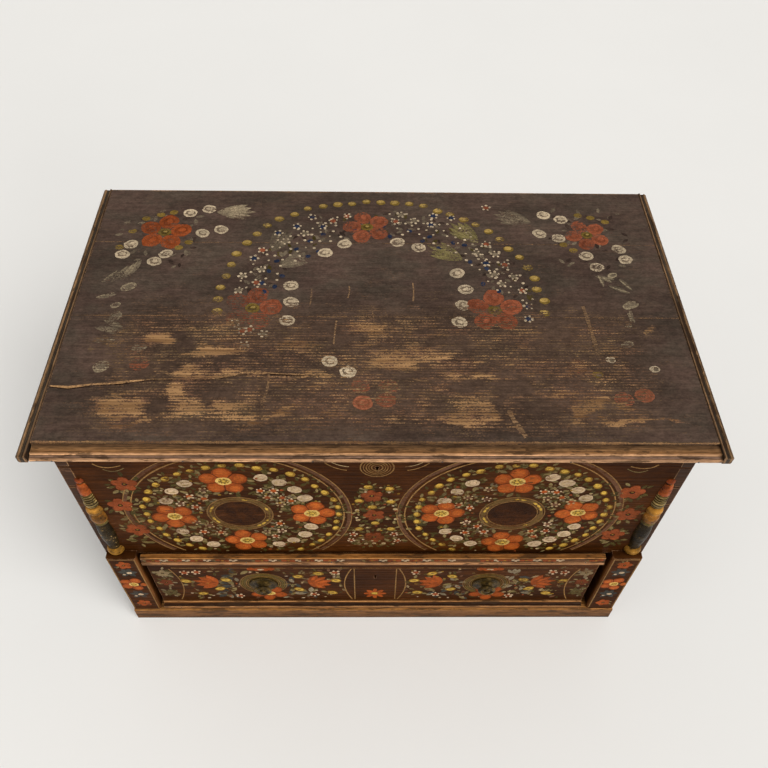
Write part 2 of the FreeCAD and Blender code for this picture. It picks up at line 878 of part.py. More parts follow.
def drawer_lock_bolt():
    """Sliding bolt, drawn down: its head is just below the drawer front's upper edge, and the key
    lifts it by the notch in its lower end."""
    half = drawer_bolt_width / 2
    y_range = (drawer_bolt_y, drawer_bolt_y + drawer_bolt_thickness)
    low = drawer_bolt_top - drawer_bolt_length
    plate = box((-half, half), y_range, (low, drawer_bolt_top))
    half_notch = drawer_bolt_notch_width / 2
    notch = box((-half_notch, half_notch), y_range, (low, low + drawer_bolt_notch_height))
    return plate.cut(notch)


def drawer_bolt_mortise():
    """Slot in the chest front's lower edge for the drawer's bolt."""
    half = drawer_bolt_width / 2 + drawer_bolt_mortise_play
    y_range = (drawer_bolt_y - drawer_bolt_mortise_play,
               drawer_bolt_y + drawer_bolt_thickness + drawer_bolt_mortise_play)
    return box((-half, half), y_range, (base_height, base_height + drawer_bolt_mortise_depth))


def drawer_lock_nails():
    half = drawer_lock_width / 2 - lock_wall - 5.0
    back = panel_back + lock_depth
    length = lock_depth + nail_length
    return [
        nail(Vector(side * half, back, z), Vector(0, -1, 0), length)
        for side in (-1, 1)
        for z in (drawer_lock_low + 7.0, drawer_lock_high - 7.0)
    ]


def drawer_sprigs():
    """Headless nails that hold both mouldings to the drawer front."""
    first = drawer_left + sprig_end_margin
    step = (drawer_width - 2 * sprig_end_margin) / (moulding_sprig_count - 1)
    top_row = (panel_front - top_moulding_depth, base_height + ledge_lip - 17.0)
    bottom_row = (panel_front - bottom_moulding_depth, drawer_under + 6.0)
    sprigs = []
    for y, z in (top_row, bottom_row):
        for index in range(moulding_sprig_count):
            x = first + index * step
            end = Vector(x, panel_front + nail_length, z)
            sprigs.append(cylinder(Vector(x, y, z), end, sprig_radius))
    return sprigs


def build():
    """All pieces by name. A list of solids is one group of like fasteners or stops."""
    floor = chest_floor()
    floor_cut = Part.makeCompound(floor)
    strap_nails = hinge_strap_nails()
    plate_nails = hinge_plate_nails()
    lid_lock_fixing = lid_lock_nails()
    staple_nails = lid_staple_nails()
    fixing = batten_nails()
    sprigs = lid_sprigs()
    drawer_fixing = drawer_sprigs()
    drawer_lock_fixing = drawer_lock_nails()
    lid_cuts = Part.makeCompound(strap_nails + staple_nails + fixing + sprigs)
    sprig_cut = Part.makeCompound(sprigs)
    bottom = drawer_bottom()
    drawer_cut = Part.makeCompound(drawer_fixing + drawer_lock_fixing)
    boards = lid_boards(lid_cuts)
    right_column = column()
    right_post = post()
    right_cleat = lid_cleat(sprig_cut)
    pieces = {
        "front_board": chest_front(floor_cut).cut(Part.makeCompound(lid_lock_fixing)),
        "back_board": chest_back(floor_cut, Part.makeCompound(plate_nails)),
        "side_board_left": chest_side(-1, floor_cut),
        "side_board_right": chest_side(1, floor_cut),
        "column_left": mirrored(right_column),
        "column_right": right_column,
        "post_left": mirrored(right_post),
        "post_right": right_post,
        "plinth_rail": plinth_rail(),
        "base_side_left": base_side_board(-1),
        "base_side_right": base_side_board(1),
        "base_back": base_back(),
        "runner_left": runner(-1),
        "runner_right": runner(1),
        "guide_left": guide(-1),
        "guide_right": guide(1),
        "drawer_stops": [drawer_stop(-1), drawer_stop(1)],
        "lid_lock_case": lid_lock_case(Part.makeCompound(lid_lock_fixing)),
        "lid_lock_bolt": lid_lock_bolt(),
        "lid_lock_nails": lid_lock_fixing,
        "hinge_plate_nails": plate_nails,
        "lid_board_front": boards[0],
        "lid_board_middle": boards[1],
        "lid_board_back": boards[2],
        "lid_front_moulding": lid_front_moulding(sprig_cut),
        "lid_cleat_left": mirrored(right_cleat),
        "lid_cleat_right": right_cleat,
        "lid_sprigs": sprigs,
        "batten_nails": fixing,
        "hinge_strap_nails": strap_nails,
        "lid_lock_staple": lid_lock_staple(Part.makeCompound(staple_nails)),
        "lid_staple_nails": staple_nails,
        "drawer_front": drawer_front(bottom, drawer_cut),
        "drawer_back": drawer_back(),
        "drawer_bottom": bottom,
        "drawer_top_moulding": drawer_top_moulding(Part.makeCompound(drawer_fixing)),
        "drawer_bottom_moulding": drawer_bottom_moulding(Part.makeCompound(drawer_fixing)),
        "drawer_sprigs": drawer_fixing,
        "drawer_lock_case": drawer_lock_case(Part.makeCompound(drawer_lock_fixing)),
        "drawer_lock_bolt": drawer_lock_bolt(),
        "drawer_lock_nails": drawer_lock_fixing,
    }
    for index, board in enumerate(floor):
        pieces["floor_board_%d" % (index + 1)] = board
    for name, side in (("left", -1), ("right", 1)):
        pieces["lid_batten_" + name] = lid_batten(side, Part.makeCompound(fixing))
        pieces["hinge_strap_" + name] = hinge_strap(side, Part.makeCompound(strap_nails))
        pieces["hinge_plate_" + name] = hinge_plate(side, Part.makeCompound(plate_nails))
        pieces["hinge_pin_" + name] = hinge_pin(side)
        pieces["drawer_side_" + name] = drawer_side(side, bottom)
        pieces["knob_" + name] = knob(side)
    return pieces


os.makedirs("parts", exist_ok=True)
for node, shape in build().items():
    if isinstance(shape, list):
        shape = Part.makeCompound(shape)
    shape.exportStep("parts/%s.step" % node)
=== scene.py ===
"""Looks of the painted trunk: worn paint on pine, folk flowers as thin films of paint, iron locks."""
import json
import random
from math import copysign, cos, hypot, inf, pi, radians, sin
from operator import mul

import bpy
from mathutils import Matrix, Vector


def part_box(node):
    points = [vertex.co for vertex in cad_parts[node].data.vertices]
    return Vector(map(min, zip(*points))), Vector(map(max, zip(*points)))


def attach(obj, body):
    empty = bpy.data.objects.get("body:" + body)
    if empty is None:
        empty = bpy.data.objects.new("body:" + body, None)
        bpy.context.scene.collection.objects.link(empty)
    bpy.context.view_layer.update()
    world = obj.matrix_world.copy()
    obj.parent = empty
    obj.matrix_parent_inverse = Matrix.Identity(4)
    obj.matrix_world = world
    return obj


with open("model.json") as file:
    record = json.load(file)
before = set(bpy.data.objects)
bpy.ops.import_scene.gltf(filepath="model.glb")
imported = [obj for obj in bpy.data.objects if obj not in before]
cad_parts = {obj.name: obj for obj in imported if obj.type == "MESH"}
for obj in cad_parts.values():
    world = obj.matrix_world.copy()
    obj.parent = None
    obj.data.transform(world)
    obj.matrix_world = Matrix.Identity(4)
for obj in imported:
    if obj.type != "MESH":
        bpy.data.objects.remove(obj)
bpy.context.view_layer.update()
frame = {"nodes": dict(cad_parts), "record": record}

MM = 0.001

# Camera, in millimetres, degrees and pixels of a square picture
camera_place = (-13.7, -1060.4, 1815.3)
camera_pitch = 51.685
camera_yaw = -1.675
camera_roll = 1.530
focal_pixels = 785.7
picture_pixels = 768.0
sensor_width = 36.0

# Stage, in metres and watts; the wide lights by the direction they come from and their strength
floor_half = 9.0
sky_colour = (1.0, 0.99, 0.97, 1.0)
sky_strength = 0.43
lamp_place = (-2.4, -1.6, 2.6)
lamp_target = (0.0, 0.0, 0.4)
lamp_size = 1.8
lamp_power = 6.0
wide_lights = {"front_light": ((0.66, -0.80, 0.22), 1.05), "ceiling_light": ((1.1, -1.15, 2.1), 2.16)}
wide_light_degrees = 40.0

# Places in the materials, in metres: depth of bare wood on a painted board's inner face, the depth behind a
# post's front over which its flanks darken into painted shade, where the gap by the drawer lies in shade,
# and the height up to which the ends are scuffed
bare_depth = 0.001
flank_shade_depths = (0.004, 0.013)
scuff_height = 0.16

# Paint films and the flowers on each face: sizes in millimetres, counts, and how square the arch is
film = 0.12
ochre_line_width = 2.4
paint_margin = 1.5
board_edge_margin = 4.0
wreath_z = 461.5
wreath_line_radius = 214.0
wreath_thin_line_radius = 203.0
wreath_dot_z = 459.5
wreath_dot_across = 186.0
wreath_dot_up = 175.0
wreath_dot_count = 38
wreath_disc_radius = 144.0
wreath_band_radius = 56.0
wreath_bloom_radius = 43.0
keyhole_z = 629.0
keyhole_rings = ((10.0, 2.2), (15.0, 1.8), (19.5, 2.2), (24.5, 1.6), (30.0, 2.2))
post_bloom_z = 182.0
post_bloom_radius = 29.5
post_sprig_z = (276.0, 80.0)
post_leaves_z = (239.0, 128.0)
post_line_inset = 3.4
post_line_z = (52, 110, 160, 210, 260, 302)
post_line_top = 301.0
drawer_ring_radius = 52.0
drawer_ring_step = 4.6
drawer_bloom_radius = 41.0
drawer_star_z = 104.0
drawer_line_z = 237.0
drawer_end_x = 463.0
knob_x = 249.0
knob_z = 158.0
moulding_flat_inset = 2.0
moulding_flower_drop = 8.0
moulding_first_flower = -462.0
moulding_flower_step = 46.0
moulding_flower_count = 21
arch_centre = (9.0, 332.0)
arch_radius_across = 316.0
arch_radius_deep = 328.0
arch_left_squareness = 2.5
arch_right_squareness = 2.05
arch_dot_count = 33
arch_berry_radius = 15.5
spray_berry_radius = 15.0


def ink(red, green, blue):
    """Linear colour from 8-bit values of how it looks in neutral light."""
    def linear(value):
        value = value / 255
        return value / 12.92 if value <= 0.04045 else ((value + 0.055) / 1.055) ** 2.4
    return (linear(red), linear(green), linear(blue), 1.0)


# Pigments
orange = ink(153, 72, 26)
bright_orange = ink(170, 86, 33)
vermilion = ink(136, 66, 32)
faded_red = ink(136, 74, 49)
rubbed_red = ink(140, 83, 58)
yellow = ink(200, 160, 68)
dull_yellow = ink(142, 106, 38)
faded_yellow = ink(168, 138, 76)
eye_yellow = ink(206, 170, 96)
white = ink(192, 164, 131)
faded_white = ink(188, 167, 137)
smear = ink(168, 142, 102)
lid_grey = ink(113, 99, 80)
berry_shade = ink(122, 104, 84)
lid_smear = ink(148, 131, 104)
olive = ink(108, 91, 52)
lid_olive = ink(118, 106, 66)
leaf_green = ink(70, 59, 27)
grey_green = ink(116, 99, 62)
brown_green = ink(104, 90, 66)
pale_green = ink(126, 112, 88)
dusty_green = ink(118, 102, 76)
blue_grey = ink(56, 54, 48)
deep_blue = ink(38, 46, 66)
ochre = ink(140, 104, 60)
khaki = ink(122, 98, 44)
mauve = ink(98, 66, 46)
# Dark paint, used too for the painted shadow line along the lid's crack
dark_paint_and_crack_shadow = ink(36, 20, 12)
scratched_paint = ink(134, 104, 74)
greens = (leaf_green, leaf_green, grey_green)

# Grounds and bare materials
front_paint = ink(62, 32, 9)
# Lid grounds: their grey cast is partly painted sheen, a soft reflection over the lid, partly their own
# paint
lid_paint_and_sheen = ink(77, 60, 51)
greenish_lid_paint_and_sheen = ink(73, 61, 51)
rubbed_lid_paint_and_sheen = ink(74, 57, 46)
side_paint = ink(58, 37, 24)
post_side_paint = ink(112, 68, 32)
thin_paint = ink(106, 76, 57)
olive_thin_paint = ink(98, 78, 56)
grime = ink(50, 33, 19)
pine_light = ink(170, 130, 88)
pine_dark = ink(94, 65, 40)
pine_stain = ink(78, 56, 38)
aged_pine_light = ink(158, 122, 82)
aged_pine_dark = ink(116, 82, 50)
# Painted shade and dirt in the grooves of the turned columns
groove_shade_colour = ink(30, 21, 12)
column_ring = ink(166, 140, 88)
column_worn = ink(176, 138, 84)
column_grime = ink(34, 24, 15)
rust_brown = ink(88, 60, 42)
floor_colour = ink(232, 230, 226)


class Tree:
    """Short calls for building the nodes of one material."""

    def __init__(self, name):
        self.material = bpy.data.materials.new(name)
        self.material.use_nodes = True
        self.nodes = self.material.node_tree.nodes
        self.links = self.material.node_tree.links
        self.shader = self.nodes["Principled BSDF"]
        # Place in the trunk's frame, in metres
        self.place = self.node("TexCoord").outputs["Object"]

    def put(self, socket, value):
        """Links a socket, or sets its constant."""
        if isinstance(value, bpy.types.NodeSocket):
            self.links.new(value, socket)
        else:
            socket.default_value = value

    def node(self, kind, inputs=None, **settings):
        """New node with these settings, and with inputs that are links or constants."""
        node = self.nodes.new("ShaderNode" + kind)
        for key, value in settings.items():
            setattr(node, key, value)
        for key, value in (inputs or {}).items():
            self.put(node.inputs[key], value)
        return node

    def parts(self, vector):
        return self.node("SeparateXYZ", {0: vector}).outputs

    def vector(self, operation, a, b):
        node = self.node("VectorMath", {0: a, 1: b}, operation=operation)
        return node.outputs["Value" if operation in ("LENGTH", "DOT_PRODUCT") else "Vector"]

    def math(self, operation, a, b=0.0):
        return self.node("Math", {0: a, 1: b}, operation=operation).outputs[0]

    def product(self, first, *others):
        for value in others:
            first = self.math("MULTIPLY", first, value)
        return first

    def total(self, start, *terms):
        """Start and the sum of (value, weight) pairs."""
        for value, weight in terms:
            start = self.node("Math", {0: value, 1: weight, 2: start}, operation="MULTIPLY_ADD").outputs[0]
        return start

    def step(self, value, low, high):
        """0 below low, 1 above high, smooth between."""
        inputs = {"Value": value, "From Min": low, "From Max": high}
        return self.node("MapRange", inputs, interpolation_type="SMOOTHSTEP").outputs["Result"]

    def noises(self, stretch, detail, roughness=0.55, distortion=0.0):
        """Noise as value and colour, with this many features per metre along X, Y and Z or along all."""
        stretch = stretch if isinstance(stretch, tuple) else (stretch,) * 3
        inputs = {"Vector": self.vector("MULTIPLY", self.place, stretch), "Scale": 1.0, "Detail": detail}
        inputs.update({"Roughness": roughness, "Distortion": distortion})
        return self.node("TexNoise", inputs).outputs

    def noise(self, *options):
        """Noise about 0.5."""
        return self.noises(*options)[0]

    def grain(self, *options):
        """Noise that fills the range from 0 to 1."""
        return self.step(self.noise(*options), 0.34, 0.66)

    def pushed(self, stretch, amount):
        """Place pushed about by noise, for ragged outlines."""
        push = self.vector("SUBTRACT", self.noises(stretch, 4.0, 0.5)["Color"], (0.5,) * 3)
        return self.vector("ADD", self.place, self.vector("MULTIPLY", push, (amount,) * 3))

    def mix(self, factor, a, b, most=1.0):
        """Colour a with b over it, at most by this share."""
        if most < 1.0:
            factor = self.product(factor, most)
        return self.node("Mix", {0: factor, 6: a, 7: b}, data_type="RGBA").outputs[2]

    def tint(self, colour, *terms):
        """Colour made darker or lighter by values from 0 to 1, each with its factors at 0 and at 1."""
        for value, low, high in terms:
            factor = self.node("MapRange", {"Value": value, "To Min": low, "To Max": high})
            if not isinstance(colour, bpy.types.NodeSocket):
                colour = colour[:3]
            inputs = {0: colour, "Scale": factor.outputs["Result"]}
            colour = self.node("VectorMath", inputs, operation="SCALE").outputs["Vector"]
        return colour

    def ramp(self, value, stops, interpolation="LINEAR"):
        node = self.node("ValToRGB", {0: value})
        node.color_ramp.interpolation = interpolation
        elements = node.color_ramp.elements
        while len(elements) < len(stops):
            elements.new(0.5)
        for element, (position, colour) in zip(elements, stops):
            element.position = position
            element.color = colour
        return node.outputs[0]

    def edges(self, radius):
        """1 on edges and corners that wear first, 0 on flats."""
        bevel = self.node("Bevel", {"Radius": radius}, samples=6)
        normal = self.node("NewGeometry").outputs["Normal"]
        turned = self.math("SUBTRACT", 1.0, self.vector("DOT_PRODUCT", bevel.outputs[0], normal))
        return self.step(turned, 0.0, 0.22)

    def finish(self, colour, roughness, height, depth, shine=0.2):
        """Sets the shader: depth is the height of the bumps in metres."""
        bump = self.node("Bump", {"Strength": 1.0, "Distance": depth, "Height": height}).outputs["Normal"]
        inputs = {"Specular IOR Level": shine, "Base Color": colour, "Roughness": roughness, "Normal": bump}
        for key, value in inputs.items():
            self.put(self.shader.inputs[key], value)
        return self.material


def across_grain(axis, along, across):
    """Features per metre for a pattern that runs along one axis."""
    return tuple(along if name == axis else across for name in "XYZ")


def pine(tree, axis, light=pine_light, dark=pine_dark):
    """Colour and height of planed pine with its grain along one axis."""
    rings = tree.grain(across_grain(axis, 1.4, 85), 3, 0.5, 0.6)
    fibre = tree.grain(across_grain(axis, 14, 900), 2)
    value = tree.total(0.0, (rings, 0.50), (fibre, 0.30), (tree.grain(5, 3), 0.20))
    return tree.ramp(value, [(0.15, dark), (0.85, light)]), value


def aged_pine(tree, axis):
    """Colour, grain and dust of bare pine that has aged indoors."""
    colour, grain = pine(tree, axis, aged_pine_light, aged_pine_dark)
    dust = tree.grain(4, 5, 0.6)
    stain = tree.grain(across_grain(axis, 3, 11), 6, 0.66, 0.4)
    colour = tree.tint(colour, (dust, 0.74, 1.12))
    return tree.mix(tree.step(stain, 0.45, 1.0), colour, pine_stain, 0.5), grain, dust


def bare_inside(tree, painted, axis, value, face, toward):
    """Painted board, bare on its inner face: toward is 1 where value is highest there, else -1."""
    inner = tree.step(value, face - toward * bare_depth, face - toward * bare_depth / 2)
    return tree.mix(inner, painted, aged_pine(tree, axis)[0])


# Ground of the lid: its rings' spacing in metres and how far they bend
lid_ring_spacing = 0.0066
lid_ring_bend = 16.0
# Zone of the lid that is used, in metres: where it fades out and where it is full, behind the lid's front
# edge for its front and back, and from the middle for its ends
lid_zone_front = (0.02, 0.08)
lid_zone_back = (0.40, 0.27)
lid_zone_end = (0.56, 0.42)
# Worn line along the lid's front and back: where it fades out and where it is full, in metres from the edge
lid_edge_line = (0.005, 0.002)
# Rubbed places on the lid: X, distance behind the lid's front edge, half length, half depth, strength.
# A strength below zero is a smudge where the paint has stayed.
lid_rubs = [
    (-451, 104, 46, 20, 0.95), (-360, 130, 22, 16, 0.85), (-330, 106, 26, 18, 0.80),
    (-407, 266, 34, 16, 0.85), (-312, 231, 54, 14, 0.75), (-346, 181, 40, 10, 0.70),
    (-265, 174, 40, 7, 0.50), (-262, 94, 40, 20, 0.60), (-224, 75, 44, 9, 0.55),
    (-490, 253, 40, 9, 0.50), (-300, 291, 34, 26, 0.50), (-139, 244, 60, 16, 0.42),
    (-169, 94, 24, 9, 0.50), (-418, 71, 40, 5, 0.55), (-3, 297, 46, 22, 0.50), (48, 224, 66, 22, 0.50),
    (125, 229, 30, 14, 0.50), (29, 204, 40, 9, 0.50), (169, 176, 50, 12, 0.52),
    (169, 106, 46, 26, 0.42), (137, 76, 50, 10, 0.55), (200, 84, 20, 14, 0.50),
    (-112, 175, 46, 7, 0.60), (351, 99, 11, 24, 0.85), (375, 115, 20, 12, 0.70),
    (419, 107, 26, 6, 0.60), (458, 78, 84, 6, 0.80), (313, 139, 34, 8, 0.50), (365, 199, 24, 12, 0.40),
    (518, 291, 14, 12, 0.55),
    (-381, 115, 18, 22, -0.60), (-363, 252, 24, 24, -0.55), (-290, 135, 26, 16, -0.45),
    (-284, 210, 40, 7, -0.40), (-422, 193, 34, 14, -0.35), (66, 176, 50, 12, -0.30),
    (151, 148, 26, 14, -0.30), (-77, 270, 22, 40, -0.45), (56, 65, 34, 10, -0.30),
    (255, 152, 36, 18, -0.35), (285, 103, 34, 26, -0.40), (339, 271, 30, 40, -0.30),
    (220, 130, 12, 60, -0.45),
]


def lid_wear(tree):
    """How far the lid's paint is rubbed through, the ridges of its grain and the zone that is used."""
    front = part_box("lid_front_moulding")[0][1]
    ragged = tree.pushed((20, 28, 20), 0.075)
    field = 0.0
    for x, behind, half_length, half_depth, strength in lid_rubs:
        centre = (x * MM, front + behind * MM, 0.0)
        reach = (1 / (half_length * MM), 1 / (half_depth * MM), 0.0)
        offset = tree.vector("MULTIPLY", tree.vector("SUBTRACT", ragged, centre), reach)
        close = tree.step(tree.vector("LENGTH", offset, (0, 0, 0)), 1.6, 0.2)
        field = tree.total(field, (close, strength))
    x, y, _ = tree.parts(tree.place)
    ahead_of_back = tree.step(y, *(front + behind for behind in lid_zone_back))
    inward = tree.step(tree.math("ABSOLUTE", x), *lid_zone_end)
    behind_front = tree.step(y, *(front + behind for behind in lid_zone_front))
    zone = tree.product(ahead_of_back, inward, behind_front)
    bend = tree.noise((1.6, 16, 1.6), 3)
    phase = tree.total(0.0, (y, 2 * pi / lid_ring_spacing), (bend, lid_ring_bend))
    ridges = tree.total(0.5, (tree.math("SINE", phase), 0.5))
    dashes = tree.grain((30, 400, 30), 3, 0.65)
    blobs = tree.grain((22, 40, 22), 6, 0.70)
    specks = tree.grain((330, 420, 330), 2, 0.6)
    lines = tree.product(tree.total(-0.27, (ridges, 0.30), (dashes, 0.24)), tree.total(0.3, (zone, 0.7)))
    rubs = tree.math("MINIMUM", field, 0.70)
    wear = tree.total(-0.41, (rubs, 0.62), (zone, 0.22), (lines, 1.0), (blobs, 0.30), (specks, 0.30))
    return wear, ridges, zone


def lid_ground(tree, edge_share=0.0):
    """Colour of the lid without its flowers, its wear and the height of its surface."""
    wear, ridges, zone = lid_wear(tree)
    if edge_share:
        y = tree.parts(tree.place)[1]
        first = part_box("lid_board_front")[0][1]
        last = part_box("lid_board_back")[1][1]
        front_line = tree.step(y, *(first + inset for inset in lid_edge_line))
        back_line = tree.step(y, *(last - inset for inset in lid_edge_line))
        wear = tree.total(wear, (tree.edges(0.003), edge_share), (front_line, 0.40), (back_line, 0.36))
    wood, grain = pine(tree, "X")
    cloud = tree.grain((6, 11, 6), 5, 0.6)
    fibre = tree.grain((10, 150, 10), 3, 0.6)
    hair = tree.grain((40, 420, 40), 2)
    mottle = tree.grain((60, 85, 60), 5, 0.7)
    hue = tree.grain((13, 21, 13), 4, 0.6)
    dust = tree.grain((190, 260, 190), 2)
    # Grounds with painted sheen in their grey cast, rubbed in the used zone
    dark = tree.mix(zone, tree.mix(hue, lid_paint_and_sheen, greenish_lid_paint_and_sheen), rubbed_lid_paint_and_sheen)
    dark = tree.tint(dark, (cloud, 0.76, 1.18), (fibre, 0.90, 1.10))
    dark = tree.tint(dark, (mottle, 0.80, 1.18), (dust, 0.88, 1.12))
    thin = tree.mix(hue, olive_thin_paint, thin_paint)
    thin = tree.tint(thin, (hair, 0.72, 1.14), (mottle, 0.76, 1.20))
    scratch = tree.step(tree.noise((7, 520, 7), 1), 0.68, 0.72)
    colour = tree.mix(tree.step(wear, 0.08, 0.32), tree.mix(scratch, dark, thin, 0.4), thin)
    colour = tree.mix(tree.step(wear, 0.37, 0.44), colour, wood)
    return colour, wear, tree.total(0.0, (ridges, 0.4), (grain, 0.3), (hair, 0.3))


def lid_material():
    tree = Tree("painted_lid")
    colour, wear, height = lid_ground(tree, 0.45)
    z = tree.parts(tree.place)[2]
    colour = bare_inside(tree, colour, "X", z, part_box("lid_board_front")[0][2], -1)
    return tree.finish(colour, tree.total(0.46, (tree.step(wear, 0.2, 0.5), 0.20)), height, 0.0004, 0.05)


def front_ground(tree):
    """Paint of the fronts, its wear, its streaks and the wood under it."""
    streaks = tree.grain((3, 3, 170), 3, 0.6, 0.2)
    cloud = tree.grain((8, 8, 12), 5, 0.6)
    specks = tree.grain((110, 110, 330), 3, 0.6)
    wear = tree.total(-0.38, (streaks, 0.20), (cloud, 0.30), (specks, 0.26))
    dark = tree.tint(front_paint, (cloud, 0.66, 1.20), (streaks, 0.72, 1.22), (specks, 0.84, 1.12))
    return dark, wear, streaks, pine(tree, "X")[0]


def worn_front(tree, paint, wear, wood):
    """Paint that gives way to thin paint and wood where it is worn."""
    colour = tree.mix(tree.step(wear, 0.26, 0.44), paint, thin_paint)
    return tree.mix(tree.step(wear, 0.44, 0.62), colour, wood)


def front_material(node):
    """Painted board, bare on its inner face."""
    tree = Tree("painted_" + node)
    dark, wear, streaks, wood = front_ground(tree)
    wear = tree.total(wear, (tree.edges(0.004), 0.50))
    y = tree.parts(tree.place)[1]
    colour = bare_inside(tree, worn_front(tree, dark, wear, wood), "X", y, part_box(node)[1][1], 1)
    return tree.finish(colour, tree.total(0.42, (tree.step(wear, 0.2, 0.6), 0.25)), streaks, 0.0003, 0.02)


def post_material():
    """Posts: dark like the front, with ochre-brown flanks that darken into painted shade further back, by
    the drawer.
    """
    tree = Tree("painted_post")
    dark, wear, streaks, wood = front_ground(tree)
    across, _, up = tree.parts(tree.node("NewGeometry").outputs["True Normal"])
    y = tree.parts(tree.place)[1]
    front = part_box("post_left")[0][1]
    flank = tree.step(tree.total(0.0, (tree.math("ABSOLUTE", across), 1.0), (up, 0.4)), 0.3, 0.8)
    wear = tree.total(wear, (tree.edges(0.004), 0.55))
    brown = tree.tint(post_side_paint, (tree.grain((30, 30, 8), 4), 0.55, 1.25))
    # Painted shade: the flanks turn dark further back, where the gap beside the drawer lies in shade
    deep = tree.step(y, *(front + depth for depth in flank_shade_depths))
    brown = tree.mix(deep, brown, tree.tint(dark, (0.0, 0.6, 1.0)))
    colour = worn_front(tree, tree.mix(flank, dark, brown), wear, wood)
    return tree.finish(colour, 0.5, streaks, 0.0003, 0.02)


def side_material():
    """Plain painted ends, scuffed low down and along the edges."""
    tree = Tree("painted_sides")
    streaks = tree.grain((3, 3, 130), 3, 0.6, 0.3)
    cloud = tree.grain((5, 5, 7), 5, 0.6)
    scuffs = tree.grain((60, 25, 90), 4, 0.7)
    x, _, z = tree.parts(tree.place)
    wear = tree.total(-0.42, (streaks, 0.18), (cloud, 0.34), (scuffs, 0.30))
    wear = tree.total(wear, (tree.step(z, scuff_height, 0.0), 0.16), (tree.edges(0.004), 0.50))
    dark = tree.tint(side_paint, (cloud, 0.75, 1.2), (streaks, 0.85, 1.15))
    colour = worn_front(tree, dark, wear, pine(tree, "Y")[0])
    colour = bare_inside(tree, colour, "Y", tree.math("ABSOLUTE", x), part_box("side_board_right")[0][0], -1)
    return tree.finish(colour, tree.total(0.46, (wear, 0.2)), streaks, 0.0003, 0.05)


# Mouldings: distance in millimetres from the first edge, and the colour there
# Dark bands in grooves, coves, channels and steps are painted shade; bright bands on arrises, beads and
# noses are worn wood with painted highlight; the light top of the drawer's ledge is worn wood and partly
# painted light; the dark face of that ledge is its paint
lid_moulding_bands = [
    (0.0, 194, 148, 108), (3.2, 164, 122, 88), (4.4, 64, 42, 26), (5.4, 122, 94, 76), (8.0, 108, 82, 64),
    (8.6, 60, 38, 22), (9.4, 208, 158, 114), (11.4, 184, 136, 94), (12.6, 126, 86, 50), (19.0, 134, 96, 60),
    (23.0, 100, 72, 46), (28.0, 92, 66, 44), (29.4, 44, 32, 22),
]
cleat_bands = [
    (0.0, 92, 70, 50), (4.5, 110, 84, 58), (6.4, 150, 114, 78), (7.8, 116, 88, 60), (8.6, 64, 53, 42),
    (14.2, 60, 50, 40), (15.2, 142, 106, 70), (17.2, 118, 88, 60), (19.0, 50, 39, 31),
]
drawer_ledge_bands = [
    (0.0, 104, 67, 35), (8.0, 146, 98, 56), (15.0, 180, 130, 86), (18.0, 142, 96, 58), (19.4, 50, 31, 18),
    (21.0, 98, 63, 38), (30.6, 86, 53, 30), (32.2, 198, 142, 82), (33.4, 166, 108, 50), (34.0, 128, 82, 38),
]
drawer_foot_bands = [
    (0.0, 48, 25, 7), (2.6, 130, 82, 40), (8.6, 150, 100, 54), (11.0, 208, 150, 92), (12.2, 42, 21, 6),
    (14.2, 50, 27, 8), (16.2, 130, 83, 40), (18.4, 208, 150, 92), (19.5, 96, 58, 26),
]
plinth_bands = [(0.0, 58, 37, 17), (6.0, 98, 62, 28), (38.0, 124, 80, 39), (45.0, 150, 102, 52)]


def trim_material(name, axis, across, start, bands):
    """Moulding: bands of colour across it, worn paint with painted shade and painted highlight, grime in
    patches and bright wood on its edges.
    """
    tree = Tree(name)
    value = tree.parts(tree.place)["XYZ".index(across)]
    if across == "X":
        value = tree.product(tree.math("ABSOLUTE", value), -1.0)
    wander = tree.noise(across_grain(axis, 16, 60), 3)
    length = bands[-1][0] * MM
    share = tree.total(-(start + 0.5 * MM) / length, (value, 1 / length), (wander, MM / length))
    # Bands with painted shade in grooves and coves, and painted highlight on arrises and rounds
    colour = tree.ramp(share, [(distance * MM / length, ink(*shade)) for distance, *shade in bands])
    streaks = tree.grain(across_grain(axis, 6, 420), 3, 0.6, 0.3)
    patches = tree.grain(across_grain(axis, 15, 75), 6, 0.68)
    nicks = tree.grain(across_grain(axis, 60, 260), 3)
    colour = tree.tint(colour, (streaks, 0.58, 1.24), (nicks, 0.72, 1.18))
    dirty = tree.step(tree.total(0.0, (patches, 0.8), (nicks, 0.3)), 0.62, 0.88)
    colour = tree.mix(dirty, colour, grime, 0.78)
    rubbed = tree.product(tree.edges(0.0016), tree.step(patches, 0.85, 0.35))
    colour = tree.mix(rubbed, colour, pine_light, 0.75)
    height = tree.total(0.0, (streaks, 0.6), (nicks, 0.4))
    return tree.finish(colour, tree.total(0.42, (patches, 0.15)), height, 0.0004, 0.08)


# Bands of the turned columns from the bottom: height in millimetres and colour
column_bands = [
    (24.0, 138, 96, 34), (11.0, 52, 38, 16), (90.0, 42, 31, 13), (7.0, 92, 76, 40), (35.0, 130, 84, 30),
    (20.0, 160, 110, 42), (4.0, 40, 28, 14), (43.0, 104, 82, 34), (36.0, 140, 66, 24), (4.0, 60, 30, 14),
    (12.0, 132, 60, 26),
]
# Height in millimetres of the dark line at each band's foot: painted shade and dirt in the groove there
groove_shade_height = 1.6
# Fine rings of the columns: first and last height and spacing, in millimetres
column_rings = (496.0, 539.0, 7.2)


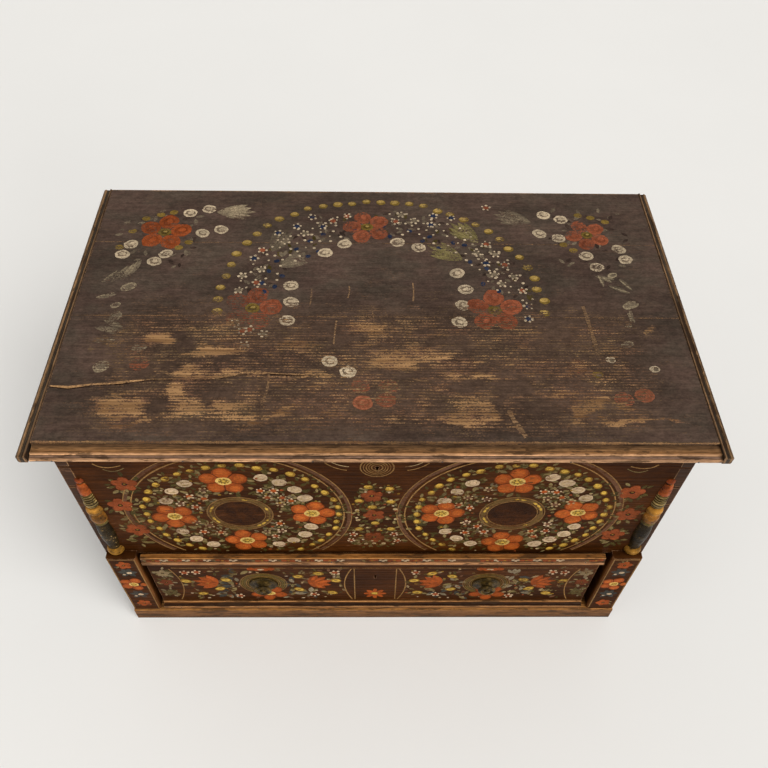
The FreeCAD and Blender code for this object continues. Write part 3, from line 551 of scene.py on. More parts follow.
def column_material():
    tree = Tree("turned_column")
    low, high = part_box("column_left")
    whole = sum(band[0] for band in column_bands)
    cloud = tree.grain((45, 45, 60), 5, 0.65)
    specks = tree.grain((300, 300, 220), 3, 0.6)
    z = tree.parts(tree.place)[2]
    share = tree.math("DIVIDE", tree.total(-low[2] - 0.0005, (specks, 0.001), (z, 1.0)), high[2] - low[2])
    stops = []
    reached = 0.0
    for height, *shade in column_bands:
        # Dark line at each band's foot: painted shade and dirt in the groove between turned members
        stops.append((reached / whole, groove_shade_colour))
        stops.append(((reached + min(groove_shade_height, height / 3)) / whole, ink(*shade)))
        reached += height
    colour = tree.ramp(share, stops, "CONSTANT")
    first, last, spacing = (value * MM for value in column_rings)
    within = tree.product(tree.step(z, first, first + MM), tree.step(z, last, last - MM))
    ring = tree.step(tree.math("SINE", tree.product(z, 2 * pi / spacing)), -0.2, 0.7)
    colour = tree.tint(colour, (tree.product(within, tree.math("SUBTRACT", 1.0, ring)), 1.0, 0.5))
    colour = tree.mix(tree.product(within, ring), colour, column_ring, 0.85)
    colour = tree.tint(colour, (cloud, 0.38, 1.28))
    wear = tree.total(0.0, (specks, 0.45), (cloud, 0.55))
    colour = tree.mix(tree.step(wear, 0.86, 1.0), colour, column_worn)
    colour = tree.mix(tree.step(wear, 0.20, 0.02), colour, column_grime)
    height = tree.total(0.0, (cloud, 0.7), (specks, 0.3))
    return tree.finish(colour, tree.total(0.26, (specks, 0.18)), height, 0.0007, 0.06)


def knob_material():
    tree = Tree("knob_wood")
    cloud = tree.grain(70, 4, 0.6)
    specks = tree.grain(500, 3, 0.6)
    wear = tree.total(0.0, (cloud, 0.4), (specks, 0.25), (tree.edges(0.002), 0.4))
    colour = tree.ramp(wear, [(0.10, ink(34, 25, 10)), (0.45, ink(72, 56, 26)), (0.90, ink(150, 116, 66))])
    return tree.finish(colour, tree.total(0.26, (specks, 0.2)), wear, 0.0004, 0.06)


def bare_pine_material(name, axis):
    """Unpainted inner and back boards, aged and dusty."""
    tree = Tree(name)
    colour, grain, dust = aged_pine(tree, axis)
    return tree.finish(colour, tree.total(0.62, (dust, 0.15)), grain, 0.0005)


def iron_material():
    tree = Tree("wrought_iron")
    scale = tree.grain(120, 5, 0.65)
    rusty = tree.step(tree.grain(45, 5, 0.7, 0.5), 0.50, 1.0)
    colour = tree.ramp(scale, [(0.1, ink(54, 49, 45)), (0.9, ink(78, 72, 66))])
    colour = tree.mix(rusty, colour, rust_brown, 0.5)
    tree.shader.inputs["Metallic"].default_value = 0.45
    return tree.finish(colour, tree.total(0.45, (rusty, 0.2), (scale, 0.1)), scale, 0.0003, 0.4)


def brushed(tree, wear, below, loss, spare):
    """Brushed pigment over a ground: where it is worn or thin it shows the very colour of the ground."""
    pigment = tree.node("Attribute", attribute_name="pigment").outputs
    brush = tree.grain(260, 3, 0.6, 0.8)
    patch = tree.grain(50, 5, 0.68)
    fleck = tree.grain(620, 2, 0.6)
    colour = tree.tint(pigment["Color"], (brush, 0.72, 1.20), (patch, 0.74, 1.14))
    cover = tree.total(spare, (pigment["Alpha"], 1.0), (wear, -loss))
    cover = tree.total(cover, (patch, -0.50), (brush, -0.34), (fleck, -0.22))
    colour = tree.mix(tree.step(cover, 0.0, 0.7), below, colour)
    return tree.finish(colour, 0.48, brush, 0.0002, 0.03)


def lid_flower_material():
    tree = Tree("flowers_lid")
    below, wear, _ = lid_ground(tree)
    return brushed(tree, wear, below, 2.2, 0.18)


def front_flower_material():
    tree = Tree("flowers_front")
    dark, wear, _, wood = front_ground(tree)
    return brushed(tree, wear, worn_front(tree, dark, wear, wood), 1.3, 0.34)


# Painting

def toned(colour, factor):
    """The colour made darker, or lighter by a factor above 1."""
    return tuple(part * factor for part in colour[:3]) + colour[3:]


def faded(colour, cover):
    """The colour with only a share of it left."""
    return colour[:3] + (cover,)


def around(across, up, reach, angle, squash=1.0):
    """Place at a distance and an angle from another."""
    return (across + reach * cos(angle), up + reach * (sin(angle) * squash))


def turns(count, first=0.0):
    """Angles spread evenly round a circle."""
    return [first + 2 * pi * index / count for index in range(count)]


def at_each(shape, spots, *details):
    """The same shape at each of several spots."""
    for spot in spots:
        shape(*spot, *details)


class Canvas:
    """Collects dabs of paint on one face and builds them as one mesh of thin closed pads."""

    def __init__(self, name, point, seed, across_limits, up_limits):
        self.name = name
        self.point = point
        self.limits = (across_limits, up_limits)
        self.draw = random.Random(seed)
        self.points = []
        self.faces = []
        self.colours = []
        self.count = 0

    def shade(self, colour, spread=0.12):
        """The colour a little darker or lighter, as each brush load differs."""
        return toned(colour, 1 + self.draw.uniform(-spread, spread))

    def pad(self, outline, colour, layer):
        """Thin pad with this outline, anticlockwise seen from outside, if the face has room for it.

        No two pads are equally thick.
        """
        self.count += 1
        for (least, most), values in zip(self.limits, zip(*outline)):
            if min(values) < least or max(values) > most:
                return
        thickness = (layer + 0.8 * (self.count * 0.618 % 1)) * film
        first = len(self.points)
        sides = len(outline)
        for height in (thickness, -film):
            self.points.extend(self.point(across, up, height) for across, up in outline)
        top = list(range(first, first + sides))
        bottom = list(range(first + sides, first + 2 * sides))
        new = [tuple(top), tuple(reversed(bottom))]
        for index in range(sides):
            after = (index + 1) % sides
            new.append((top[after], top[index], bottom[index], bottom[after]))
        self.faces.extend(new)
        self.colours.extend([colour] * len(new))

    def turned_pad(self, across, up, turn, shape, colour, layer):
        """Pad whose shape is turned and then set down at a place."""
        cosine, sine = cos(turn), sin(turn)
        outline = [(across + u * cosine - v * sine, up + u * sine + v * cosine) for u, v in shape]
        self.pad(outline, colour, layer)

    def dab(self, across, up, half_width, half_height, colour, layer, turn=0.0, sides=14, wobble=0.07):
        """Rounded dab of a brush."""
        shape = []
        for angle in turns(sides):
            size = 1 + self.draw.uniform(-wobble, wobble)
            shape.append((half_width * size * cos(angle), half_height * size * sin(angle)))
        self.turned_pad(across, up, turn, shape, self.shade(colour), layer)

    def leaf(self, across, up, length, width, turn, colour, layer=1):
        """Pointed leaf that starts at a place and runs in one direction."""
        sides = 6
        lower = [(length * i / sides, -width / 2 * sin(pi * i / sides) ** 0.8) for i in range(sides)]
        upper = [(length - u, -v) for u, v in lower]
        self.turned_pad(across, up, turn, lower + upper, self.shade(colour, 0.25), layer)

    def strip(self, stations, colour, layer):
        """Band through (across, up, width) stations."""
        colour = self.shade(colour)
        sides = []
        for index, (across, up, width) in enumerate(stations):
            before = stations[max(index - 1, 0)]
            after = stations[min(index + 1, len(stations) - 1)]
            du, dv = after[0] - before[0], after[1] - before[1]
            half = width / 2 / hypot(du, dv)
            sides.append(((across + dv * half, up - du * half), (across - dv * half, up + du * half)))
        for (right, left), (next_right, next_left) in zip(sides, sides[1:]):
            self.pad([right, next_right, next_left, left], colour, layer)

    def line(self, path, width, colour, layer=1):
        """Brush line along a path, thicker and thinner as a hand paints it."""
        self.strip([(u, v, width * self.draw.uniform(0.7, 1.25)) for u, v in path], colour, layer)

    def curve(self, start, pull, end, width, colour, layer=1):
        """Line that bows from start to end toward a third place."""
        path = []
        for index in range(11):
            t = index / 10
            shares = ((1 - t) ** 2, 2 * t * (1 - t), t * t)
            path.append([sum(map(mul, shares, values)) for values in zip(start, pull, end)])
        self.line(path, width, colour, layer)

    def ring(self, across, up, radius, width, colour, layer=1, steps=72, floor=-inf):
        """Circle that starts at its lowest place, left out below floor."""
        path = [around(across, up, radius, 2 * pi * (index / steps + 0.75)) for index in range(steps + 1)]
        self.line([spot for spot in path if spot[1] > floor], width, colour, layer)

    def foliage(self, spots, count, near, far, length, colours):
        """Leaves that stand out round each spot."""
        for across, up in spots:
            for _ in range(count):
                angle = self.draw.uniform(0, 2 * pi)
                foot = around(across, up, self.draw.uniform(near, far), angle)
                size = length * self.draw.uniform(0.7, 1.2)
                turn = angle + self.draw.uniform(-0.7, 0.7)
                self.leaf(*foot, size, size * 0.46, turn, self.draw.choice(colours))

    def bloom(self, across, up, radius, colour, light, turn, layer=2, squash=1.0):
        """Large flower: five round petals with dark rims, a pale eye and a speckled middle."""
        rim = toned(colour, 0.55)
        for angle in turns(5, turn):
            petal = around(across, up, 0.60 * radius, angle, squash)
            self.dab(*petal, radius * 0.46, radius * 0.43 * squash, rim, layer, angle, wobble=0.05)
            self.dab(*petal, radius * 0.42, radius * 0.38 * squash, colour, layer + 1, angle, wobble=0.09)
            tip = around(across, up, 0.70 * radius, angle, squash)
            self.dab(*tip, radius * 0.22, radius * 0.24 * squash, light, layer + 2, angle)
        for angle in turns(5, turn + pi / 5):
            path = [around(across, up, share * radius, angle, squash) for share in (0.30, 0.50, 0.70)]
            self.line(path, radius * 0.05, toned(colour, 0.36), layer + 3)
        self.dab(across, up, radius * 0.35, radius * 0.31 * squash, eye_yellow, layer + 4)
        self.dab(across, up, radius * 0.24, radius * 0.21 * squash, khaki, layer + 4.8)
        self.dab(across, up, radius * 0.10, radius * 0.08, yellow, layer + 5.6, sides=8)
        for angle in turns(7):
            spot = around(across, up, radius * 0.18, angle, squash * 17 / 18)
            self.dab(*spot, radius * 0.05, radius * 0.045, yellow, layer + 5.6, sides=6)

    def rose(self, across, up, radius, colour, covers, turn):
        """Flower of five round petals, each with a darker heart and its own share of paint left."""
        for angle, cover in zip(turns(5, turn), covers):
            u, v = around(across, up, 0.62 * radius, angle)
            own = faded(self.shade(colour, 0.20), cover)
            self.dab(u, v, radius * 0.40, radius * 0.37, own, 2, angle)
            self.dab(u, v, radius * 0.25, radius * 0.21, toned(own, 0.74), 3, angle)
            self.dab(u + 2, v + 2, radius * 0.15, radius * 0.11, toned(own, 1.12), 4, angle)
        self.dab(across, up, radius * 0.26, radius * 0.22, toned(khaki, 0.75), 4)
        self.dab(across, up, radius * 0.16, radius * 0.12, toned(khaki, 0.4), 5)
        light = toned(faded_yellow, 0.7)
        self.dab(across + 1, up + 2, radius * 0.09, radius * 0.06, light, 6, sides=7)

    def disc(self, across, up, radius, colour, dark, extra=0.0):
        """White berry with a duller ring in it."""
        turn = self.draw.uniform(-0.5, 0.5)
        cover = self.draw.uniform(0.7, 1.0) + extra
        colour, dark = faded(colour, cover), faded(dark, cover)
        self.dab(across, up, radius, radius * 0.86, colour, 2, turn)
        u, v = across + self.draw.uniform(-1, 1), up + self.draw.uniform(-1, 1)
        self.dab(u, v, radius * 0.64, radius * 0.50, dark, 3, turn, wobble=0.22)
        middle = (u + radius * 0.1, v + radius * 0.06)
        self.dab(*middle, radius * 0.46, radius * 0.32, colour, 4, turn, wobble=0.26)

    def yolk(self, across, up, radius, light, dark, turn=0.0):
        """Yellow dot, dull at its rim."""
        self.dab(across, up, radius, radius * 0.82, dark, 2, turn)
        self.dab(across - radius * 0.1, up + radius * 0.2, radius * 0.74, radius * 0.52, light, 3, turn)

    def dot_flower(self, across, up, radius, heart, petal):
        """Five dots round a dab."""
        for angle in turns(5, self.draw.uniform(0, 2)):
            size = radius * self.draw.uniform(0.22, 0.40)
            spot = around(across, up, radius * self.draw.uniform(0.85, 1.1), angle)
            self.dab(*spot, size, size, petal, 4, sides=8)
        self.dab(across, up, radius * 0.8, radius * 0.7, heart, 2, sides=9)

    def sprig(self, across, up, radius, colour):
        """Small flower of five short petals round a dark eye."""
        for angle in turns(5, self.draw.uniform(0, 2)):
            spot = around(across, up, 0.55 * radius, angle)
            self.dab(*spot, radius * 0.46, radius * 0.42, toned(colour, 0.6), 2, angle, sides=11)
            own = faded(colour, self.draw.uniform(0.7, 1.0))
            self.dab(*spot, radius * 0.42, radius * 0.36, own, 3, angle, sides=11)
        self.dab(across, up, radius * 0.22, radius * 0.19, dark_paint_and_crack_shadow, 4, sides=8)
        self.dab(across, up + 1, radius * 0.10, radius * 0.08, dull_yellow, 5, sides=7)

    def fan(self, across, up, length, turn, colour, petals, spread, slim):
        """Tulip or tuft of leaves: petals that open from one foot."""
        for index in range(petals):
            side = 2 * index / (petals - 1) - 1
            size = length * (1 - 0.18 * abs(side))
            angle = turn + side * spread / 2
            self.leaf(across, up, size, length * slim, angle, colour, 2)
            foot = around(across, up, 0.35 * size, angle)
            self.leaf(*foot, size * 0.5, length * slim * 0.35, angle, toned(colour, 1.3), 3)

    def build(self, material, body):
        mesh = bpy.data.meshes.new(self.name)
        mesh.from_pydata(self.points, [], self.faces)
        attribute = mesh.attributes.new("pigment", "FLOAT_COLOR", "CORNER")
        values = []
        for polygon, colour in zip(mesh.polygons, self.colours):
            values.extend(list(colour) * polygon.loop_total)
        attribute.data.foreach_set("color", values)
        mesh.materials.append(material)
        piece = bpy.data.objects.new(self.name, mesh)
        bpy.context.scene.collection.objects.link(piece)
        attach(piece, body)


def upright_face(y):
    """Points on a face that looks to the front, from millimetres across and up."""
    return lambda across, up, height: (across * MM, y - height * MM, up * MM)


def lid_face(front, z):
    """Points on the lid, from millimetres across and behind its front edge."""
    return lambda across, behind, height: (across * MM, front + behind * MM, z + height * MM)


def face_limits(low, high, axis):
    """First and last millimetre of a box that paint may cover along one axis."""
    return (low[axis] / MM + paint_margin, high[axis] / MM - paint_margin)


def close_to(spot, others, reach):
    return any(hypot(spot[0] - u, spot[1] - v) < reach for u, v in others)


def scattered(draw, count, pick, taken, reach):
    """Places from pick that keep their distance from taken ones and from each other."""
    spots = []
    for _ in range(count):
        spot = pick(draw)
        if not close_to(spot, taken, reach) and not close_to(spot, spots, reach):
            spots.append(spot)
    return spots


def round_place(centre, near, far, first=0.0, last=360.0):
    """Picks places in a ring or a part of one, in degrees."""
    return lambda draw: around(*centre, draw.uniform(near, far), radians(draw.uniform(first, last)))


def box_place(left, right, low, high):
    """Picks places in a rectangle."""
    return lambda draw: (draw.uniform(left, right), draw.uniform(low, high))


# Each wreath: X of its lines, its dots and its middle, and its large flowers from the middle
wreaths = [
    (-265.5, -258.5, -263.5, [(-15, 121), (-128, -10), (139, 3), (1, -110)]),
    (258.0, 262.0, 264.5, [(-8, 120), (127, 6), (-138, 3), (-3, -118)]),
]
# Lines round a wreath's middle: radius, width and colour
wreath_inner_rings = [(63.0, 2.4, ochre), (57.0, 1.6, khaki), (49.0, 2.0, ochre)]
# Runs of white berries in a wreath: first and last angle in degrees, and number
berry_runs = [(25, 68, 4), (128, 160, 3), (210, 241, 3), (297, 339, 4)]
# Where the runs of yellow dashes round a wreath's middle start, in degrees
dash_starts = (20, 75, 155, 200, 305)
# Small flowers in a wreath, from its middle
small_flowers = [
    (-57, 90), (-59, 58), (-83, 26), (-90, 64), (-108, 38), (-65, -50), (-50, -74), (-84, -75), (-88, -36),
    (48, 86), (72, 86), (56, 60), (86, 62), (80, 36), (104, 50), (74, -40), (46, -73), (76, -68), (60, -94),
]
# Small red flowers at the outer edge of each wreath, and the ferns by them: how much further out, and height
edge_sprigs = ((-1, [(-460, 571), (-486, 494), (-476, 396)]), (1, [(478, 544), (492, 460), (482, 376)]))
edge_ferns = ((-4, 534), (-12, 445), (8, 350))
# Lines in the upper corners, mirrored: three places, width and colour
corner_curves = [
    ((500, 640), (486, 618), (452, 634), 2.2, ochre), ((486, 622), (470, 606), (448, 626), 1.8, grey_green),
    ((92, 644), (76, 624), (54, 620), 2.0, ochre), ((80, 646), (68, 634), (50, 632), 1.6, smear),
]


def paint_wreath_dots(canvas, dots_x, floor):
    """Oval of yellow dots with leaves, left out below floor."""
    draw = canvas.draw
    dots = []
    for angle in turns(wreath_dot_count):
        u = dots_x + (wreath_dot_across + draw.uniform(-4, 4)) * cos(angle)
        v = wreath_dot_z + (wreath_dot_up + draw.uniform(-4, 4)) * sin(angle)
        if v > floor + 8:
            cover = draw.uniform(0.65, 1.0)
            light, dark = faded(yellow, cover), faded(dull_yellow, cover)
            canvas.yolk(u, v, draw.uniform(7.6, 9.8), light, dark, angle + pi / 2)
            dots.append((u, v))
    canvas.foliage(dots, 5, 8, 14, 13.0, greens)


def paint_wreath_middle(canvas, middle):
    """Plain round middle in a band with yellow dashes."""
    canvas.dab(*middle, 47.0, 46.0, faded(toned(front_paint, 0.6), 0.6), 1, sides=30, wobble=0.02)
    canvas.ring(*middle, wreath_band_radius, 10.0, faded(toned(ochre, 0.5), 0.70), 2, 48)
    for radius, width, colour in wreath_inner_rings:
        canvas.ring(*middle, radius, width, toned(colour, 0.72), 3, 48)
    for first in dash_starts:
        for step in range(canvas.draw.randint(1, 3)):
            angle = radians(first + 13 * step)
            fill = faded(yellow, canvas.draw.uniform(0.6, 0.95))
            canvas.dab(*around(*middle, wreath_band_radius, angle), 6.0, 2.6, fill, 4, angle + pi / 2, 8)


def paint_wreath(canvas, lines_x, dots_x, middle_x, flowers, floor):
    """Ring of lines, dots, berries and four large flowers round a plain middle."""
    draw = canvas.draw
    middle = (middle_x, wreath_z)
    canvas.ring(lines_x, wreath_z, wreath_line_radius, 8.0, faded(mauve, 0.72), floor=floor)
    canvas.ring(lines_x, wreath_z, wreath_line_radius + 4.0, 2.0, ochre, 2, floor=floor)
    canvas.ring(lines_x, wreath_z, wreath_thin_line_radius, 2.6, ochre, floor=floor)
    blooms = [(middle_x + u, wreath_z + v) for u, v in flowers]
    for index, spot in enumerate(blooms):
        canvas.bloom(*spot, wreath_bloom_radius, orange, bright_orange, 0.3 + 0.5 * index)
    canvas.foliage(blooms, 20, 36, 48, 17.0, greens)
    paint_wreath_dots(canvas, dots_x, floor)
    discs = []
    for start, end, count in berry_runs:
        for index in range(count):
            angle = radians(start + (end - start) * index / (count - 1))
            discs.append(around(*middle, wreath_disc_radius + draw.uniform(-3, 3), angle))
    for spot in discs:
        canvas.disc(*spot, draw.uniform(13, 15), white, smear)
    canvas.foliage(discs, 9, 11, 18, 15.0, greens)
    small = []
    for u, v in small_flowers:
        small.append((middle_x + u + draw.uniform(-3, 3), wreath_z + v + draw.uniform(-3, 3)))
    for spot in small:
        heart = draw.choice((vermilion, orange, mauve))
        canvas.dot_flower(*spot, 7.6, heart, smear if draw.random() < 0.4 else white)
    canvas.foliage(small, 13, 7, 17, 12.0, greens + (brown_green,))
    paint_wreath_middle(canvas, middle)
    for spot in scattered(draw, 130, round_place(middle, 74, 168), blooms, 11):
        if not close_to(spot, blooms, 44):
            size = draw.uniform(1.8, 3.4)
            fill = draw.choice((smear, smear, vermilion, dull_yellow, grey_green))
            canvas.dab(*spot, size * 1.2, size, faded(fill, draw.uniform(0.6, 1.0)), 3, sides=7)


def paint_bouquet(canvas):
    """Narrow bunch of flowers between the wreaths."""
    reds = [(-9, 530), (-4, 457), (-4, 365)]
    yellows = [(-16, 562), (-33, 511), (27, 508), (-8, 488), (-34, 400), (30, 400), (-2, 424), (24, 556)]
    whites = [(-37, 476), (-36, 437), (36, 480), (39, 441), (-4, 338), (-20, 336), (16, 338)]
    small = [(-46, 378), (37, 378), (-50, 352), (44, 350)]
    at_each(canvas.sprig, reds, 22.0, toned(vermilion, 0.78))
    at_each(canvas.yolk, yellows, 9.0, faded(yellow, 0.7), dull_yellow)
    at_each(canvas.dab, whites, 4.6, 4.0, smear, 2)
    at_each(canvas.dot_flower, small, 7.0, vermilion, white)
    canvas.foliage(reds, 24, 15, 32, 13.0, greens)
    canvas.foliage(yellows + small + whites, 7, 6, 13, 12.0, greens)
    for spot in scattered(canvas.draw, 60, box_place(-50, 46, 330, 570), reds, 13):
        fill = canvas.draw.choice((smear, white, vermilion, dull_yellow))
        canvas.dab(*spot, 3.0, 2.4, faded(fill, canvas.draw.uniform(0.6, 1.0)), 3, sides=7)


def paint_chest_front(material):
    low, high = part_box("front_board")
    limits = (face_limits(low, high, 0), face_limits(low, high, 2))
    canvas = Canvas("paint_front", upright_face(low[1]), 11, *limits)
    floor = low[2] / MM + board_edge_margin
    for wreath in wreaths:
        paint_wreath(canvas, *wreath, floor)
    paint_bouquet(canvas)
    for side, spots in edge_sprigs:
        at_each(canvas.sprig, spots, 25.0, vermilion)
        canvas.foliage(spots, 12, 16, 28, 15.0, greens)
        ferns = [(spot[0] + side * away, z) for spot, (away, z) in zip(spots, edge_ferns)]
        canvas.foliage(ferns, 9, 0, 16, 17.0, (leaf_green, grey_green, olive))
        for *places, width, colour in corner_curves:
            canvas.curve(*((side * u, v) for u, v in places), width, colour)
    for radius, width in keyhole_rings:
        canvas.ring(0, keyhole_z, radius, width, toned(ochre, 0.8), 1, 36)
    canvas.build(material, "case")


def paint_posts(material):
    for name, side in (("left", -1), ("right", 1)):
        low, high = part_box("post_" + name)
        limits = (face_limits(low, high, 0), face_limits(low, high, 2))
        canvas = Canvas("paint_post_" + name, upright_face(low[1]), 21 + side, *limits)
        middle = (low[0] + high[0]) / 2 / MM
        canvas.bloom(middle, post_bloom_z, post_bloom_radius, orange, bright_orange, 1.2)
        canvas.yolk(middle, post_bloom_z, 10.0, yellow, dull_yellow)
        for z in post_sprig_z:
            canvas.sprig(middle, z, 17.0, orange)
        for z in post_leaves_z:
            for turn in (0.2, 1.2, 2.0, 2.9, 4.0, 5.4):
                canvas.leaf(middle, z, 22, 12, turn, blue_grey)
            canvas.dab(middle + 3, z, 6.0, 4.5, white, 2)
            canvas.dab(middle - 9, z - 8, 3.5, 2.6, white, 2, sides=8)
        flowers = [(middle, z) for z in (post_sprig_z[0], post_bloom_z, post_sprig_z[1])]
        canvas.foliage(flowers, 6, 8, 15, 9.0, (leaf_green, grey_green, blue_grey))
        left, right = low[0] / MM + post_line_inset, high[0] / MM - post_line_inset
        for edge in (left, right):
            canvas.line([(edge, z) for z in post_line_z], ochre_line_width, ochre)
        canvas.line([(x, post_line_top) for x in (left, middle, right)], ochre_line_width, ochre)
        canvas.build(material, "case")


# Flowers on a half of the drawer front: how much further out than its knob, and height
drawer_yellows = [
    (143, 106), (81, 178), (100, 132), (-79, 195), (-78, 128), (-124, 210), (-162, 174), (-152, 110),
    (170, 172),
]
drawer_small_flowers = [(166, 215), (140, 217), (-161, 215), (-110, 100), (60, 92)]
drawer_tufts = [(80, 112), (66, 150), (-68, 160), (-105, 108), (58, 200), (-56, 90)]
# Bowed lines there: how much further out than the knob are their ends, and the place they bow toward
drawer_curves = [(197, 164), (-197, -164), (-203, -203)]


def paint_knob_flowers(canvas, middle):
    """Rings round a knob, with a large flower below, half a flower above and a tulip on each side."""
    dim_orange = toned(orange, 0.85)
    canvas.ring(middle, knob_z, 43.0, 16.0, faded(toned(khaki, 0.55), 0.45), 1, 48)
    for index in range(5):
        shade = faded(toned((ochre, khaki, olive)[index % 3], 0.8), canvas.draw.uniform(0.7, 1.0))
        canvas.ring(middle, knob_z, drawer_ring_radius - drawer_ring_step * index, 1.8, shade, 2, 48)
    canvas.bloom(middle + 8, 107, drawer_bloom_radius, dim_orange, orange, 0.9, 3, 0.8)
    for u in (-20, -6, 9, 22):
        canvas.dab(middle + u, 229 + abs(u) * 0.15, 9, 7, dim_orange, 2)
    canvas.dab(middle + 1, 230, 8, 3, white, 3)
    for away, turn in ((-1, pi - 0.25), (1, 0.25)):
        canvas.fan(middle + away * 100, 160, 56, turn, dim_orange, 5, 1.7, 0.34)
        canvas.fan(middle + away * 104, 160, 40, turn, orange, 3, 0.9, 0.30)


def paint_drawer_specks(canvas, middle, taken):
    """Dim leaves and specks strewn about a knob, with the specks clear of taken places too."""
    draw = canvas.draw
    knob = [(middle, knob_z)]
    dim = [faded(colour, 0.62) for colour in (olive, mauve, smear, leaf_green, grey_green)]
    wild = scattered(draw, 70, box_place(middle - 175, middle + 175, 82, 226), knob, 18)
    canvas.foliage([spot for spot in wild if not close_to(spot, knob, 62)], 3, 0, 10, 15.0, dim)
    for spot in scattered(draw, 90, box_place(middle - 180, middle + 180, 80, 232), taken, 15):
        if not close_to(spot, knob, 60):
            fill = draw.choice((smear, white, vermilion, dull_yellow, grey_green))
            half_sizes = (draw.uniform(2.2, 4.4), draw.uniform(1.6, 2.6))
            canvas.dab(*spot, *half_sizes, faded(fill, draw.uniform(0.5, 0.95)), 3, sides=7)


def paint_drawer_half(canvas, side):
    """Flowers on one half of the drawer front, round its knob."""
    draw = canvas.draw
    middle = side * knob_x

    def places(spots):
        return [(middle + side * u, v) for u, v in spots]

    paint_knob_flowers(canvas, middle)
    yellows = places(drawer_yellows)
    for spot in yellows:
        cover = draw.uniform(0.7, 1.0)
        canvas.dab(*spot, 12.5, 8.5, faded(dull_yellow, cover), 4, draw.uniform(-0.6, 0.6))
        canvas.dab(*spot, 9.5, 5.8, faded(yellow, cover), 5, draw.uniform(-0.4, 0.4))
        canvas.dab(*spot, 4.4, 2.2, khaki, 6, sides=8)
    canvas.foliage(yellows, 3, 8, 13, 15.0, (leaf_green, grey_green))
    at_each(canvas.dot_flower, places(drawer_small_flowers), 8.5, vermilion, white)
    canvas.foliage(places(drawer_tufts), 7, 2, 14, 24.0, (grey_green, blue_grey, pale_green))
    paint_drawer_specks(canvas, middle, yellows)
    for u, pull in drawer_curves:
        canvas.curve(*places([(u, 233), (pull, 153), (u, 73)]), ochre_line_width, ochre)
    ends = [(side * drawer_end_x, z) for z in (212, 165, 112)]
    for spot, colour in zip(ends, (smear, vermilion, olive)):
        canvas.sprig(*spot, 16.0, toned(colour, 0.6))
    canvas.foliage(ends, 16, 6, 18, 13.0, (leaf_green, grey_green, dusty_green))


def paint_drawer(material):
    low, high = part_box("drawer_front")
    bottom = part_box("drawer_bottom_moulding")[1][2] / MM
    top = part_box("drawer_top_moulding")[0][2] / MM
    canvas = Canvas("paint_drawer", upright_face(low[1]), 31, face_limits(low, high, 0), (bottom, top))
    for side in (-1, 1):
        paint_drawer_half(canvas, side)
    for angle in turns(8):
        canvas.dab(*around(0, drawer_star_z, 16, angle), 10.0, 5.0, orange, 2, angle)
    canvas.yolk(0, drawer_star_z, 9.0, yellow, dull_yellow)
    uniform = canvas.draw.uniform
    for first in range(-440, 440, 110):
        path = [(first + step, drawer_line_z + uniform(-0.8, 0.8)) for step in (0, 27, 54, 82, 108)]
        canvas.line(path, ochre_line_width, faded(ochre, uniform(0.5, 0.85)))
    canvas.build(material, "drawer")


def paint_drawer_moulding(material):
    """Row of small flowers on the flat of the drawer's upper moulding, with every fifth one missing."""
    low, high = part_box("drawer_top_moulding")
    limits = (face_limits(low, high, 0), face_limits(low, high, 2))
    canvas = Canvas("paint_drawer_moulding", upright_face(low[1] + moulding_flat_inset * MM), 41, *limits)
    middle = high[2] / MM - moulding_flower_drop
    for index in range(moulding_flower_count):
        x = moulding_first_flower + moulding_flower_step * index + canvas.draw.uniform(-6, 6)
        if index % 5 == 4:
            continue
        for reach in (-9, 0, 9):
            own = faded(vermilion, canvas.draw.uniform(0.5, 0.95))
            canvas.dab(x + reach, middle + canvas.draw.uniform(-2, 2), 6.5, 4.4, own, 2, sides=10)
        canvas.dab(x, middle, 3.0, 2.0, dull_yellow, 3, sides=8)
        for reach, lift in ((17, 2), (23, -2), (28, 2)):
            canvas.dab(x + reach, middle + lift, 3.6, 2.4, white, 2, sides=8)
        canvas.leaf(x + 10, middle - 3, 12, 4.5, 0.3, blue_grey)
        canvas.leaf(x - 10, middle - 2, 12, 4.5, 3.0, grey_green)
    canvas.build(material, "drawer")


# Flowers of the lid: every place is X and the distance behind the lid's front edge.
# Roses of the arch: place, radius, turn and the share of paint left on each petal
arch_roses = [
    (-240, 341, 57, 0.1, (0.98, 0.58, 0.42, 0.55, 0.62)),
    (-21, 579, 50, 0.6, (0.85, 0.80, 0.66, 0.82, 0.78)),
    (227, 338, 55, 0.3, (0.95, 0.88, 0.82, 0.92, 0.98)),
]
arch_berries = [
    (-106, 499), (-67, 526), (-170, 403), (-167, 358), (-171, 309), (-87, 209), (-53, 184),
    (43, 532), (86, 516), (161, 441), (175, 395), (167, 352), (157, 307),
]
arch_flowers = [
    (-206, 558), (-190, 533), (-168, 580), (-151, 558), (-114, 579), (-253, 282), (-246, 246),
    (-214, 275), (-268, 430), (-232, 448), (-271, 389), (-239, 411), (-138, 610), (-64, 614),
    (-93, 598), (122, 617), (160, 611), (80, 600), (52, 620), (115, 588), (228, 528), (243, 497),
    (222, 470), (260, 466), (236, 438), (274, 432), (248, 411), (287, 393), (293, 350), (290, 316),
    (40, 598), (237, 645), (-250, 480), (-235, 505), (205, 500), (-270, 300), (-240, 285),
]
# Tulips: foot, length, direction and colour
tulips = [
    (212, 532, 84, 2.3, lid_olive), (176, 480, 84, 2.6, lid_olive), (-195, 455, 70, 0.6, lid_grey),
    (-343, 624, 84, 0.02, lid_smear), (330, 598, 84, 2.82, lid_grey),
    (-215, 500, 80, 1.2, toned(lid_grey, 0.7)),
]
